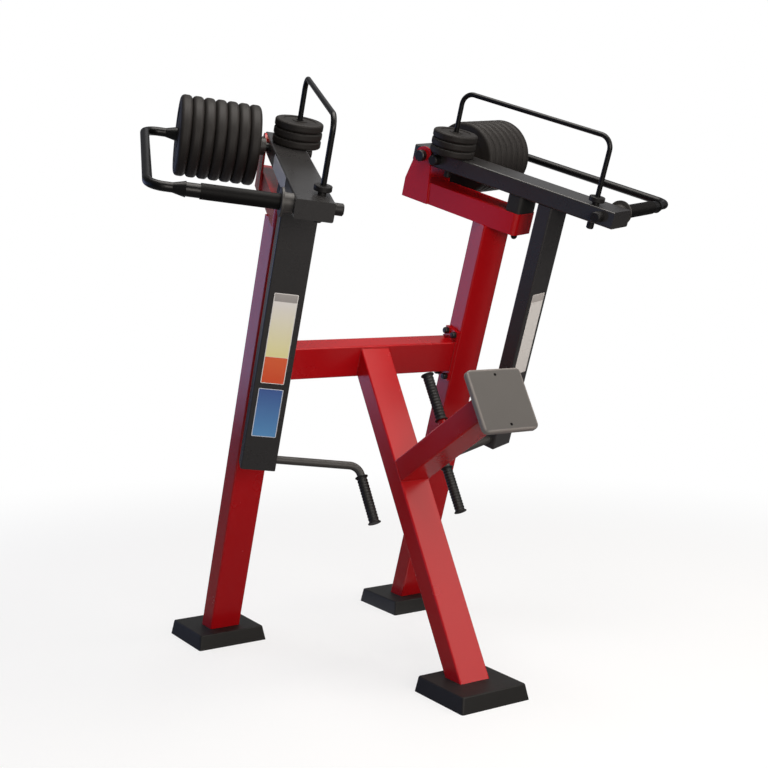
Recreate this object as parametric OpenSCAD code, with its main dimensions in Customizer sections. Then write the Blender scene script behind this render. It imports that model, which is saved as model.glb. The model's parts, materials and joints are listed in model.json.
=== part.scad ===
// Outdoor standing row machine: a welded three-legged frame with two lever arms.
// Each arm turns on its own pin and carries captive weight discs on two closed loops.
// Millimetres, +Z up, the machine stands on Z = 0 and faces -Y.

/* [Rear posts] */
// Distance between the axes of the two rear posts
post_spacing = 865; // [780:5:960]
// Forward lean of the rear posts, degrees
post_lean = 20; // [14:1:24]
// Height of the bracket above the foot cover, measured along the post
post_length = 1627.5; // [1500:5:1750]
// Width of the post tube, across the machine
post_w = 120; // [100:5:130]
// Depth of the post tube, front to back
post_d = 80; // [60:5:90]

/* [Tubes] */
// Wall of the frame tubes
tube_wall = 4; // [2:0.5:6]
// Outer corner radius of the frame tubes
tube_corner = 6; // [5:0.5:9]
// Clearance left in the holes that a round bar or hub is welded into
weld_fit = 0.2; // [0.1:0.05:0.4]

/* [Crossbar] */
// Height of the crossbar's centre, measured along the posts
crossbar_at = 1103.5; // [1000:5:1200]
// Height of the crossbar tube
crossbar_h = 120; // [100:5:140]
// Depth of the crossbar tube
crossbar_d = 80; // [60:5:90]
// Thickness of the crossbar's end plates
flange_t = 14; // [8:1:16]
// Height of the crossbar's end plates
flange_h = 200; // [190:5:230]
// Distance between the bolts of an end plate, up the post
flange_bolt_rise = 170; // [160:2:176]
// Distance between the bolts of an end plate, across the post
flange_bolt_span = 50; // [36:2:52]

/* [Front leg] */
// Backward tilt of the front leg, degrees
leg_tilt = 30; // [26:1:33]
// Width of the front leg tube
leg_w = 120; // [100:5:140]
// Depth of the front leg tube
leg_d = 80; // [60:5:90]

/* [Chest pad] */
// Height of the pad strut's centre, measured along the front leg
strut_at = 735; // [650:5:820]
// Width of the pad strut tube
strut_w = 120; // [90:5:140]
// Height of the pad strut tube
strut_h = 80; // [60:5:100]
// Distance from the axis of the front leg to the face of the pad
pad_reach = 633.5; // [560:5:700]
// Side of the square pad
pad_side = 216; // [190:1:240]
// Thickness of the pad
pad_t = 20; // [16:1:30]
// Corner radius of the pad's outline
pad_corner = 20; // [12:1:26]
// Rounding of the pad's front edge
pad_round = 7; // [3:0.5:8]
// Thickness of the steel plate behind the pad
pad_plate_t = 6; // [4:1:10]
// Width of the steel plate behind the pad
pad_plate_w = 110; // [70:5:150]
// Height of the steel plate behind the pad
pad_plate_h = 196; // [180:2:204]
// Distance between the two pad screws
pad_screw_span = 172; // [150:2:176]

/* [Feet] */
// Height of the foot covers
foot_h = 53.5; // [40:0.5:70]
// Side of the foot covers at the ground
foot_base = 275.5; // [250:0.5:320]
// Side of the foot covers at the top
foot_top = 254; // [230:1:270]
// Wall of the foot covers
foot_wall = 5; // [3:0.5:8]
// Rounding of the foot covers' top edge
foot_round = 5; // [2:0.5:8]
// How far the rear foot centre lies behind the post axis at the ground
rear_foot_back = 4.5; // [0:0.5:12]
// How far the front foot centre lies ahead of the leg axis at the ground
front_foot_ahead = 7; // [0:0.5:12]
// Side of the steel base plates inside the covers
plate_side = 220; // [190:5:228]
// Thickness of the steel base plates
plate_t = 10; // [6:1:14]
// Distance between the anchor holes of a base plate
anchor_span = 180; // [150:5:180]
// Diameter of the anchor holes
anchor_hole_d = 18; // [12:1:22]

/* [Arm bracket] */
// Angle by which the brackets and arms turn outward about the posts, degrees
toe_out = 20; // [10:1:25]
// Height of the bracket tube
bracket_h = 80; // [60:5:95]
// Reach of the bracket ahead of the post axis
bracket_front = 140; // [130:2:160]
// Reach of the bracket behind the post axis
bracket_back = 378; // [370:2:400]
// Corner radius at the bracket's front end
bracket_nose = 20; // [10:1:30]
// Thickness of the pivot ears
ear_t = 8; // [6:1:10]
// Radius of the top of the pivot ears
ear_r = 35; // [33:1:37]
// How far that round top sits ahead of the pivot
ear_lead = 5; // [0:0.5:6]
// Distance from the bracket's back end to the front foot of the ears
ear_foot = 120; // [110:2:140]
// Height of the straight part of the ears' back edge
ear_back_rise = 71; // [60:1:80]
// Distance of the arm pivot behind the post axis
pivot_back = 320; // [318:1:328]
// Diameter of the pivot pin
pin_d = 25; // [20:1:28]
// Diameter of the pin's outer head
pin_head_d = 42; // [38:1:46]
// Height of the pin's outer head
pin_head_h = 7; // [5:0.5:9]
// Diameter of the cap on the pin's inner end
pin_cap_d = 42; // [38:1:46]
// Height of the cap on the pin's inner end
pin_cap_h = 22; // [20:1:28]

/* [Arm] */
// Width of the beam and of the drop arm
beam_w = 120; // [116:2:130]
// Height of the beam
beam_h = 60; // [58:2:70]
// Reach of the beam ahead of the post axis
beam_front = 505.5; // [495:1:530]
// Reach of the beam behind the post axis
beam_back = 367; // [362:1:368]
// Depth of the drop arm
drop_d = 60; // [50:2:66]
// Distance of the drop arm's centre ahead of the post axis
drop_at = 235.5; // [225:1:250]
// Length of the drop arm below the beam
drop_length = 956.5; // [850:1:1000]
// Outer diameter of the hub welded across the beam
hub_d = 46; // [44:1:52]
// Outer diameter of the flanged bushes in the hub
bush_d = 32; // [31:0.5:36]
// Thickness of the bushes' flanges
bush_flange_t = 1.2; // [0.8:0.1:2]
// Running clearance on radius between pin and bush
pin_play = 0.05; // [0.02:0.01:0.08]
// End play on each side of the beam between the ears
end_play = 0.3; // [0.3:0.05:0.6]

/* [Rubber stop] */
// Length of the rubber stop under the beam
stop_l = 64; // [50:1:80]
// Width of the rubber stop
stop_w = 112; // [90:1:116]
// Height of the rubber stop, which sets the rest position of the arm
stop_h = 62; // [56:1:80]
// Distance of the stop's centre ahead of the post axis
stop_at = 106; // [100:1:112]
// Seat left between the stop and the beam
seat = 0.3; // [0.2:0.05:0.5]

/* [Hand grips] */
// Distance from the middle of the machine to the axis of each hand grip
grip_x = 182; // [150:2:220]
// Diameter of the handle tubes
handle_d = 28; // [25:0.5:32]
// Height of the handle tube above the bottom of the drop arm
handle_up = 30; // [24:1:60]
// Bend radius of the handle tube
handle_bend = 42; // [38:1:48]
// Distance from the corner of the handle to its grip
grip_start = 39; // [39:1:60]
// Length of a grip
grip_l = 173; // [140:1:180]
// Wall of a grip between its ribs
grip_wall = 3; // [2:0.25:4]
// Height of the ribs of a grip
rib_h = 1.5; // [0.8:0.1:2.5]
// Number of ribs of a grip
rib_n = 11; // [6:1:14]
// Diameter of the flanges of a grip
grip_flange_d = 46; // [40:1:54]
// Distance from the axis of the front leg to the fixed handle
fixed_handle_at = 291.5; // [250:1:330]
// Bare length of the fixed handle below its grip
fixed_stub = 37; // [20:1:50]

/* [Large disc loop] */
// Diameter of the large loop's bar
loop_d = 30; // [26:1:30]
// Bend radius of the large loop's centreline
loop_bend = 50; // [44:1:54]
// Distance of the loop's rear leg behind the post axis
loop_back = 255; // [250:1:262]
// Distance of the loop's front leg ahead of the post axis
loop_front = 452; // [447:1:456]
// Distance of the loop's outer bar from the beam's centreline
loop_out = 482; // [465:1:500]
// Diameter of the sleeves and of the cones' large ends
sleeve_d = 48; // [44:1:49]
// Diameter of the neck between the front sleeve and its cone
neck_d = 42; // [38:1:43]
// Length of that neck
neck_l = 42; // [30:1:50]
// Length of the cones
cone_l = 38; // [30:1:46]
// Diameter of the loop's collars
collar_d = 60; // [56:1:64]
// Rounding of the collars' outer edge
collar_round = 4; // [1:0.5:5]
// Clearance between the outer pivot ear and the rear collar
ear_gap = 0.5; // [0.4:0.1:1]
// Distance from the beam's outer side to the end of the rear collar
rear_collar_l = 39.7; // [34:0.1:44]
// Length of the front collar
front_collar_l = 38; // [30:1:44]
// Diameter of the flange on the front collar
collar_flange_d = 88; // [80:1:92]
// Thickness of that flange
collar_flange_t = 8; // [6:0.5:12]
// Diameter of the dome nuts on the inner side of the beam
loop_nut_d = 38; // [34:1:42]
// Height of the dome nuts
loop_nut_h = 34; // [26:1:38]
// Diameter of the thread in the dome nuts
loop_thread_d = 20; // [16:1:22]

/* [Small disc loop] */
// Diameter of the small loop's bar
rod_d = 18; // [16:1:20]
// Bend radius of the small loop's centreline
rod_bend = 45; // [36:1:50]
// Distance of the small loop's rear leg behind the post axis
rod_back = 218; // [212:1:219]
// Distance of the small loop's front leg ahead of the post axis
rod_front = 412; // [408:1:416]
// Offset of the small loop toward the machine's middle
rod_inset = 30; // [26:1:34]
// Height of the loop's top bar above the beam
rod_rise = 233; // [200:1:260]
// Diameter of the support ring on the front leg
ring_d = 56; // [50:1:64]
// Thickness of the support ring
ring_t = 17; // [12:1:20]
// Diameter of the neck under the support ring
ring_neck_d = 26; // [24:1:32]
// Length of the neck under the support ring
ring_neck_l = 10; // [6:1:14]
// Diameter of the nuts under the beam
rod_nut_d = 26; // [24:1:30]
// Height of the nuts under the beam
rod_nut_h = 28; // [20:1:32]

/* [Discs] */
// Number of large discs on an arm
big_n = 7; // [4:1:7]
// Diameter of a large disc
big_d = 274.5; // [240:0.5:284]
// Thickness of a large disc
big_t = 38.7; // [34:0.1:39.6]
// Bore of a large disc
big_bore = 52; // [50:1:56]
// Rounding of a large disc's rim
big_round = 14; // [8:1:18]
// Number of small discs on an arm
small_n = 3; // [1:1:4]
// Diameter of a small disc
small_d = 167; // [140:1:170]
// Thickness of a small disc
small_t = 28.2; // [22:0.2:30]
// Bore of a small disc
small_bore = 27; // [20:1:30]
// Rounding of a small disc's rim
small_round = 8; // [4:1:11]
// Depth of the ring recessed into each face of a disc
web_depth = 2; // [0.5:0.5:4]
// Air left between two discs of a stack
disc_gap = 0.3; // [0.2:0.05:0.5]

/* [Fasteners] */
// Diameter of the crossbar bolts
bolt_d = 12; // [10:1:12]
// Diameter of the caps on the crossbar bolts
cap_d = 25; // [24:0.5:27]
// Height of the caps on the crossbar bolts
cap_h = 17; // [15:1:20]
// Rounding of those caps
cap_round = 6; // [3:0.5:7]
// Diameter of the bolts that hold the rubber stops
stop_bolt_d = 12; // [8:1:16]
// Diameter of the dome nuts under the brackets
stop_nut_d = 24; // [20:1:28]
// Height of the dome nuts under the brackets
stop_nut_h = 26; // [20:1:30]
// Diameter of the pad screws
pad_screw_d = 6; // [5:0.5:8]
// Diameter of the pad screws' heads
pad_screw_head_d = 10; // [9:0.5:13]

/* [Hidden] */
$fn = 48;
red = "#a5131b";
black = "#2e2c2b";
rubber = "#3b3936";
steel = "#8d9094";
pad_grey = "#6b665f";

// Heights along the post, and widths across the arm
bracket_top = post_length + bracket_h;
beam_bottom = bracket_top + stop_h + seat;
beam_mid = beam_bottom + beam_h / 2;
beam_top = beam_bottom + beam_h;
bracket_w = beam_w + 2 * (bush_flange_t + end_play);
ear_outer = bracket_w / 2 + ear_t;
stack_start = beam_w / 2 + rear_collar_l + seat;
cone_start = stack_start + big_n * (big_t + disc_gap);
neck_start = cone_start - neck_l;
bend_lap = 1;
bend_swell = 0.1;

// Places on the ground plan, with the middle of the whole machine at Y = 0.
// The feet stand so far apart that the leg's axis meets the middle of the crossbar's front face.
pad_low_t = strut_at - pad_side / 2 + pad_round;
pad_low_n = pad_reach - pad_round;
leg_from_foot = foot_h * tan(leg_tilt) - front_foot_ahead;
leg_run = (crossbar_at * cos(post_lean) - crossbar_d / 2 * sin(post_lean)) * tan(leg_tilt);
post_run = crossbar_at * sin(post_lean) + crossbar_d / 2 * cos(post_lean) + foot_h * tan(post_lean);
foot_reach = rear_foot_back + post_run + leg_run + leg_from_foot;
pad_edge_y = leg_from_foot + pad_low_t * sin(leg_tilt) - pad_low_n * cos(leg_tilt) - pad_round;
front_foot_y = -(foot_reach + foot_base / 2 + pad_edge_y) / 2;
rear_foot_y = front_foot_y + foot_reach;
post_y = rear_foot_y - rear_foot_back - foot_h * tan(post_lean);
leg_y = front_foot_y + leg_from_foot;

// Length of the front leg up to the crossbar's front face, on each face of the leg
function post_to_leg_t(n) = let(
    dy = post_y - leg_y - crossbar_d / 2 * cos(post_lean),
    dz = -crossbar_d / 2 * sin(post_lean),
    c = cos(post_lean), s = sin(post_lean))
  ((dy + n * cos(leg_tilt)) * c + (dz - n * sin(leg_tilt)) * s) / (sin(leg_tilt) * c + cos(leg_tilt) * s);

// Corner of each handle, and the directions of its two runs in the arm's own frame
handle_v = beam_bottom - drop_length + handle_up;
corner_w = (grip_x - post_spacing / 2 - drop_at * sin(toe_out)) / cos(toe_out);
function turn_z(a, p) = [p.x * cos(a) - p.y * sin(a), p.x * sin(a) + p.y * cos(a), p.z];
function turn_x(a, p) = [p.x, p.y * cos(a) - p.z * sin(a), p.y * sin(a) + p.z * cos(a)];
grip_down = turn_z(-toe_out, turn_x(-post_lean, [0, -sin(leg_tilt), -cos(leg_tilt)]));
handle_turn = acos(grip_down.x * -1);
handle_cut = handle_bend * tan(handle_turn / 2);
cross_w = cross([-1, 0, 0], grip_down);
handle_normal = cross_w / norm(cross_w);
handle_side = cross(handle_normal, [-1, 0, 0]);

// Rounded rectangle centred on the origin
module rounded(w, d, r) {
  square([w - 2 * r, d], center = true);
  square([w, d - 2 * r], center = true);
  for (x = [-1, 1], y = [-1, 1])
    translate([x * (w / 2 - r), y * (d / 2 - r)]) circle(r);
}

// Hollow rounded tube along +Z
module box_tube(w, d, from, to) {
  translate([0, 0, from]) linear_extrude(to - from) difference() {
    rounded(w, d, tube_corner);
    rounded(w - 2 * tube_wall, d - 2 * tube_wall, tube_corner - tube_wall);
  }
}

// Plain ring or disc along +Z
module ring(outer, inner, from, to) {
  translate([0, 0, from]) difference() {
    cylinder(h = to - from, d = outer);
    translate([0, 0, -1]) cylinder(h = to - from + 2, d = inner);
  }
}

// Round bar along +Z whose far edge is rounded off
module round_pin(d, from, to, r) {
  rotate_extrude() {
    translate([0, from]) square([d / 2 - r, to - from]);
    translate([0, from]) square([d / 2, to - from - r]);
    translate([d / 2 - r, to - r]) circle(r);
  }
}

module above(z) translate([-1500, -1500, z]) cube([3000, 3000, 3000]);

// Frames of the posts, the front leg and the arms
module side_mirror(side) mirror([side < 0 ? 1 : 0, 0, 0]) children();
module post_frame(x) translate([x, post_y, foot_h]) rotate([post_lean, 0, 0]) children();
module leg_frame() translate([0, leg_y, foot_h]) rotate([-leg_tilt, 0, 0]) children();
module arm_frame(side) side_mirror(side) post_frame(post_spacing / 2) rotate([0, 0, toe_out]) children();
// A place in the arm frame: u ahead, v up the post, w outward
module place(u, v, w) translate([w, -u, v]) children();
// A bar or hole across the arm, along w
module across(u, v, w) place(u, v, w) rotate([0, 90, 0]) children();

module post(side) {
  color(red) side_mirror(side) intersection() {
    post_frame(post_spacing / 2) difference() {
      box_tube(post_w, post_d, -foot_h * 2, post_length);
      for (u = [-1, 1], v = [-1, 1])
        translate([-post_w / 2, u * flange_bolt_span / 2, crossbar_at + v * flange_bolt_rise / 2])
          rotate([0, 90, 0]) translate([0, 0, -1])
            cylinder(h = tube_wall + 2, d = bolt_d + 4 + 2 * weld_fit);
    }
    above(plate_t);
  }
}

module crossbar() {
  half = post_spacing / 2 - post_w / 2;
  color(red) post_frame(0) translate([0, 0, crossbar_at]) {
    rotate([0, 90, 0]) box_tube(crossbar_h, crossbar_d, -half + flange_t, half - flange_t);
    for (s = [-1, 1]) translate([s * (half - flange_t / 2), 0, 0]) difference() {
      cube([flange_t, post_d, flange_h], center = true);
      for (u = [-1, 1], v = [-1, 1])
        translate([0, u * flange_bolt_span / 2, v * flange_bolt_rise / 2]) rotate([0, 90, 0])
          cylinder(h = flange_t + 2, d = bolt_d + 1, center = true);
    }
  }
}

// The eight bolts through the crossbar's end plates, and what sits on the same axes
module at_flange_bolts() {
  for (s = [-1, 1], u = [-1, 1], v = [-1, 1])
    post_frame(s * (post_spacing / 2 - post_w / 2))
      translate([0, u * flange_bolt_span / 2, crossbar_at + v * flange_bolt_rise / 2])
        rotate([0, -s * 90, 0]) children();
}

module crossbar_bolts() {
  color(steel) at_flange_bolts() {
    translate([0, 0, -tube_wall - 14]) cylinder(h = flange_t + tube_wall + 15, d = bolt_d);
    translate([0, 0, flange_t]) cylinder(h = 8, d = 20, $fn = 6);
  }
}

module crossbar_bolt_caps() {
  color(black) at_flange_bolts() translate([0, 0, flange_t]) difference() {
    round_pin(cap_d, 0, cap_h, cap_round);
    translate([0, 0, -1]) cylinder(h = 9.2, d = 20.6);
  }
}

module crossbar_inserts() {
  color(steel) at_flange_bolts() difference() {
    union() {
      translate([0, 0, -tube_wall - 12]) cylinder(h = tube_wall + 12, d = bolt_d + 4);
      translate([0, 0, -tube_wall - 3]) cylinder(h = 3, d = bolt_d + 9);
    }
    translate([0, 0, -tube_wall - 13]) cylinder(h = tube_wall + 14, d = bolt_d + 2 * pin_play);
  }
}

module front_leg() {
  color(red) intersection() {
    leg_frame() box_tube(leg_w, leg_d, -foot_h * 2, post_to_leg_t(leg_d / 2) + leg_d);
    above(plate_t);
    post_frame(0) translate([-leg_w, -crossbar_d / 2 - 3000, -post_length]) cube([2 * leg_w, 3000, 3 * post_length]);
  }
}

module at_strut() leg_frame() translate([0, 0, strut_at]) rotate([90, 0, 0]) children();
strut_end = pad_reach - pad_t - pad_plate_t;

module pad_strut() {
  color(red) at_strut() difference() {
    box_tube(strut_w, strut_h, leg_d / 2, strut_end);
    translate([0, 0, fixed_handle_at]) rotate([-90, 0, 0])
      cylinder(h = strut_h, d = handle_d + 2 * weld_fit);
  }
}

module pad_plate() {
  color(red) at_strut() translate([0, 0, strut_end]) difference() {
    linear_extrude(pad_plate_t) rounded(pad_plate_w, pad_plate_h, pad_corner - 6);
    for (y = [-1, 1]) translate([0, y * pad_screw_span / 2, -1])
      cylinder(h = pad_plate_t + 2, d = pad_screw_d + 2 * pin_play);
  }
}

module chest_pad() {
  color(pad_grey) at_strut() translate([0, 0, strut_end + pad_plate_t]) difference() {
    hull() {
      linear_extrude(1) rounded(pad_side, pad_side, pad_corner, $fn = 32);
      for (a = [0:18:90]) translate([0, 0, pad_t - pad_round * (1 - sin(a)) - 0.02])
        linear_extrude(0.02) rounded(pad_side - 2 * pad_round * (1 - cos(a)),
          pad_side - 2 * pad_round * (1 - cos(a)), pad_corner - pad_round * (1 - cos(a)), $fn = 32);
    }
    for (y = [-1, 1]) translate([0, y * pad_screw_span / 2, 0]) {
      translate([0, 0, -1]) cylinder(h = pad_t + 2, d = pad_screw_d + 1);
      translate([0, 0, pad_t - 7]) cylinder(h = 8, d = pad_screw_head_d + 1);
    }
  }
}

module pad_screws() {
  color(steel) at_strut() translate([0, 0, strut_end + pad_plate_t]) for (y = [-1, 1])
    translate([0, y * pad_screw_span / 2, 0]) difference() {
      union() {
        translate([0, 0, -pad_plate_t - 3]) cylinder(h = pad_t + pad_plate_t - 4, d = pad_screw_d);
        translate([0, 0, pad_t - 7]) cylinder(h = 5, d = pad_screw_head_d);
      }
      translate([0, 0, pad_t - 5]) cylinder(h = 4, d = 5, $fn = 6);
    }
}

// Ribbed grip with flared flanges, along +Z from its lower flange
module grip_shape(l, closed) {
  r = handle_d / 2 + grip_wall;
  pitch = (l - 24) / rib_n;
  ribs = [for (i = [0:rib_n - 1], p = [[0, 0.1], [1, 0.3], [1, 0.7], [0, 0.9]])
    [r + p[0] * rib_h, 12 + (i + p[1]) * pitch]];
  difference() {
    rotate_extrude() polygon(concat(
      [[0, 0], [grip_flange_d / 2 - 1.5, 0], [grip_flange_d / 2, 1.5], [grip_flange_d / 2, 3.5], [r + 3, 6], [r, 10]],
      ribs,
      [[r, l - 10], [r + 3, l - 6], [grip_flange_d / 2, l - 3.5], [grip_flange_d / 2, l - 1.5],
       [grip_flange_d / 2 - 1.5, l], [0, l]]));
    translate([0, 0, -1]) cylinder(h = l + (closed ? -3 : 2), d = handle_d + 2 * weld_fit);
  }
}

module fixed_handle() {
  top = strut_h / 2 + fixed_stub + grip_l - 5;
  color(red) at_strut() translate([0, 0, fixed_handle_at]) rotate([-90, 0, 0])
    cylinder(h = top, d = handle_d);
}

module fixed_handle_grip() {
  color(black) at_strut() translate([0, 0, fixed_handle_at]) rotate([-90, 0, 0])
    translate([0, 0, strut_h / 2 + fixed_stub]) grip_shape(grip_l, true);
}

module at_feet() {
  for (x = [-1, 1]) translate([x * post_spacing / 2, rear_foot_y, 0]) children();
  translate([0, front_foot_y, 0]) children();
}

module base_plates() {
  color(steel) at_feet() difference() {
    linear_extrude(plate_t) rounded(plate_side, plate_side, tube_corner);
    for (x = [-1, 1], y = [-1, 1]) translate([x * anchor_span / 2, y * anchor_span / 2, -1])
      cylinder(h = plate_t + 2, d = anchor_hole_d);
  }
}

// Outer or inner form of a foot cover, drawn in by inset
module cover_form(inset) {
  hull() {
    translate([0, 0, -inset]) linear_extrude(0.02)
      rounded(foot_base - 2 * inset, foot_base - 2 * inset, 8, $fn = 24);
    for (a = [0:30:90]) translate([0, 0, foot_h - inset - foot_round * (1 - sin(a)) - 0.02])
      linear_extrude(0.02) rounded(foot_top + 4 - 2 * inset - 2 * foot_round * (1 - cos(a)),
        foot_top + 4 - 2 * inset - 2 * foot_round * (1 - cos(a)), 8, $fn = 24);
  }
}

module foot_cover(x, y) {
  color(rubber) difference() {
    translate([x, y, 0]) difference() {
      cover_form(0);
      cover_form(foot_wall);
    }
    children();
  }
}

module rear_cover(side) {
  foot_cover(side * post_spacing / 2, rear_foot_y) post_frame(side * post_spacing / 2)
    translate([0, 0, -foot_h]) linear_extrude(3 * foot_h)
      rounded(post_w + 2 * seat, post_d + 2 * seat, tube_corner + seat);
}

module front_foot_cover() {
  foot_cover(0, front_foot_y) leg_frame() translate([0, 0, -foot_h]) linear_extrude(3 * foot_h)
    rounded(leg_w + 2 * seat, leg_d + 2 * seat, tube_corner + seat);
}

// Plan of the bracket: a straight tube with a rounded nose, drawn in by inset
module bracket_plan(inset) {
  w = bracket_w - 2 * inset;
  r = bracket_nose - inset;
  translate([-w / 2, -bracket_front + inset + r])
    square([w, bracket_front + bracket_back - 2 * inset - r]);
  translate([-w / 2 + r, -bracket_front + inset]) square([w - 2 * r, 2 * r]);
  for (x = [-1, 1]) translate([x * (w / 2 - r), -bracket_front + inset + r]) circle(r);
}

module bracket(side) {
  color(red) arm_frame(side) difference() {
    translate([0, 0, post_length]) linear_extrude(bracket_h) bracket_plan(0);
    translate([0, 0, post_length + tube_wall]) linear_extrude(bracket_h - 2 * tube_wall) bracket_plan(tube_wall);
    place(stop_at, post_length - 1, 0) cylinder(h = bracket_h + 2, d = stop_bolt_d + 1);
  }
}

// Point where a line from p touches the circle of radius r about c, on the side given by s
function touch(p, c, r, s) = let(d = c - p, a = asin(r / norm(d)), l = sqrt(d * d - r * r), b = atan2(d.y, d.x) + s * a)
  p + l * [cos(b), sin(b)];

module pivot_ears(side) {
  c = [pivot_back - ear_lead, beam_mid];
  low_front = [bracket_back - ear_foot, post_length];
  high_back = [bracket_back, post_length + ear_back_rise];
  color(red) arm_frame(side) for (s = [-1, 1])
    translate([s * (bracket_w + ear_t) / 2 - ear_t / 2, 0, 0]) rotate([90, 0, 90]) difference() {
      linear_extrude(ear_t) {
        polygon([low_front, [bracket_back, post_length], high_back, touch(high_back, c, ear_r, -1),
          c, touch(low_front, c, ear_r, 1)]);
        translate(c) circle(ear_r, $fn = 96);
      }
      translate([pivot_back, beam_mid, -1]) cylinder(h = ear_t + 2, d = pin_d + 2 * pin_play);
    }
}

module pivot_pins() {
  color(steel) for (side = [-1, 1]) arm_frame(side) across(-pivot_back, beam_mid, 0) {
    translate([0, 0, -ear_outer - 12]) cylinder(h = 2 * ear_outer + 12 + pin_head_h - 2, d = pin_d);
    translate([0, 0, ear_outer]) rotate_extrude() polygon([
      [0, 0], [pin_head_d / 2, 0], [pin_head_d / 2, pin_head_h - 2], [pin_head_d / 2 - 2, pin_head_h], [0, pin_head_h]
    ]);
  }
}

module pivot_pin_caps() {
  color(black) for (side = [-1, 1]) arm_frame(side) across(-pivot_back, beam_mid, -ear_outer) mirror([0, 0, 1])
    difference() {
      rotate_extrude() polygon([
        [0, 0], [pin_cap_d / 2, 0], [pin_cap_d / 2, pin_cap_h - 3], [pin_cap_d / 2 - 3, pin_cap_h], [0, pin_cap_h]
      ]);
      translate([0, 0, -1]) cylinder(h = 14, d = pin_d + 2 * pin_play);
    }
}

module stop_block(side) {
  color(rubber) arm_frame(side) place(stop_at, bracket_top, 0) difference() {
    linear_extrude(stop_h) rounded(stop_w, stop_l, 14);
    translate([0, 0, -1]) cylinder(h = stop_h - 9, d = stop_bolt_d + 2 * weld_fit);
  }
}

module stop_bolts() {
  color(black) for (side = [-1, 1]) arm_frame(side) place(stop_at, post_length, 0) {
    translate([0, 0, -6]) cylinder(h = bracket_h + stop_h - 10, d = stop_bolt_d);
    mirror([0, 0, 1]) rotate_extrude() polygon([
      [0, 0], [stop_nut_d / 2, 0], [stop_nut_d / 2, stop_nut_h - 8], [stop_nut_d / 2 - 3, stop_nut_h - 3],
      [stop_nut_d / 4, stop_nut_h], [0, stop_nut_h]
    ]);
  }
}

module beam(side) {
  color(black) arm_frame(side) difference() {
    translate([0, beam_back - tube_wall, beam_mid]) rotate([90, 0, 0])
      box_tube(beam_w, beam_h, 0, beam_front + beam_back - 2 * tube_wall);
    across(-pivot_back, beam_mid, -beam_w) cylinder(h = 2 * beam_w, d = hub_d + 2 * weld_fit);
    for (u = [-loop_back, loop_front])
      across(u, beam_mid, -beam_w) cylinder(h = 2 * beam_w, d = loop_d + 2 * weld_fit);
    for (u = [-rod_back, rod_front])
      place(u, beam_bottom - 1, -rod_inset) cylinder(h = beam_h + 2, d = rod_d + 2 * weld_fit);
  }
}

// Welded plates that close the beam at both ends and the drop arm at its foot
module end_plates(side) {
  color(black) arm_frame(side) {
    for (y = [-beam_front + tube_wall, beam_back]) translate([0, y, beam_mid]) rotate([90, 0, 0])
      linear_extrude(tube_wall) rounded(beam_w, beam_h, tube_corner);
    place(drop_at, beam_bottom - drop_length, 0) linear_extrude(tube_wall) rounded(beam_w, drop_d, tube_corner);
  }
}

module drop_arm(side) {
  color(black) arm_frame(side) difference() {
    place(drop_at, 0, 0) box_tube(beam_w, drop_d, beam_bottom - drop_length + tube_wall, beam_bottom);
    across(drop_at, handle_v, -beam_w / 2 - 1) cylinder(h = tube_wall + 2, d = handle_d + 2 * weld_fit);
  }
}

module pivot_hub(side) {
  color(black) arm_frame(side) across(-pivot_back, beam_mid, 0) ring(hub_d, bush_d + 2 * pin_play, -beam_w / 2, beam_w / 2);
}

module pivot_bushes(side) {
  color(steel) arm_frame(side) across(-pivot_back, beam_mid, 0) for (s = [0, 1]) mirror([0, 0, s]) difference() {
    union() {
      translate([0, 0, beam_w / 2 - 40]) cylinder(h = 40, d = bush_d);
      translate([0, 0, beam_w / 2]) cylinder(h = bush_flange_t, d = hub_d);
    }
    translate([0, 0, beam_w / 2 - 41]) cylinder(h = 43, d = pin_d + 2 * pin_play);
  }
}

// Quarter or part bend of a round bar: starts at the origin along +X and turns toward +Y
module bend(d, r, a) translate([0, r, 0]) rotate([0, 0, -90]) rotate_extrude(angle = a, $fn = 96)
  translate([r, 0]) circle(d / 2, $fn = 48);

// The straight runs enter the bend by a lap, and the bend is a hair thicker than the tube
module handle(side) {
  reach = -beam_w / 2 + tube_wall + 8 - corner_w - handle_cut;
  run = grip_start + grip_l - 5 - handle_cut;
  color(black) arm_frame(side) place(drop_at, handle_v, corner_w + handle_cut)
    multmatrix([for (i = [0:2]) [[-1, 0, 0][i], handle_side[i], handle_normal[i], 0]]) {
      translate([-reach, 0, 0]) rotate([0, 90, 0]) cylinder(h = reach + bend_lap, d = handle_d);
      bend(handle_d + bend_swell, handle_bend, handle_turn);
      translate([0, handle_bend, 0]) rotate([0, 0, handle_turn]) translate([-bend_lap, -handle_bend, 0])
        rotate([0, 90, 0]) cylinder(h = run + bend_lap, d = handle_d);
    }
}

// Turns +Z into the direction of the hand grip
module grip_frame() multmatrix([for (i = [0:2]) [handle_normal[i], cross(grip_down, handle_normal)[i], grip_down[i], 0]])
  children();

module grip(side) {
  color(black) arm_frame(side) place(drop_at, handle_v, corner_w) grip_frame()
    translate([0, 0, grip_start]) grip_shape(grip_l, true);
}

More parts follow.
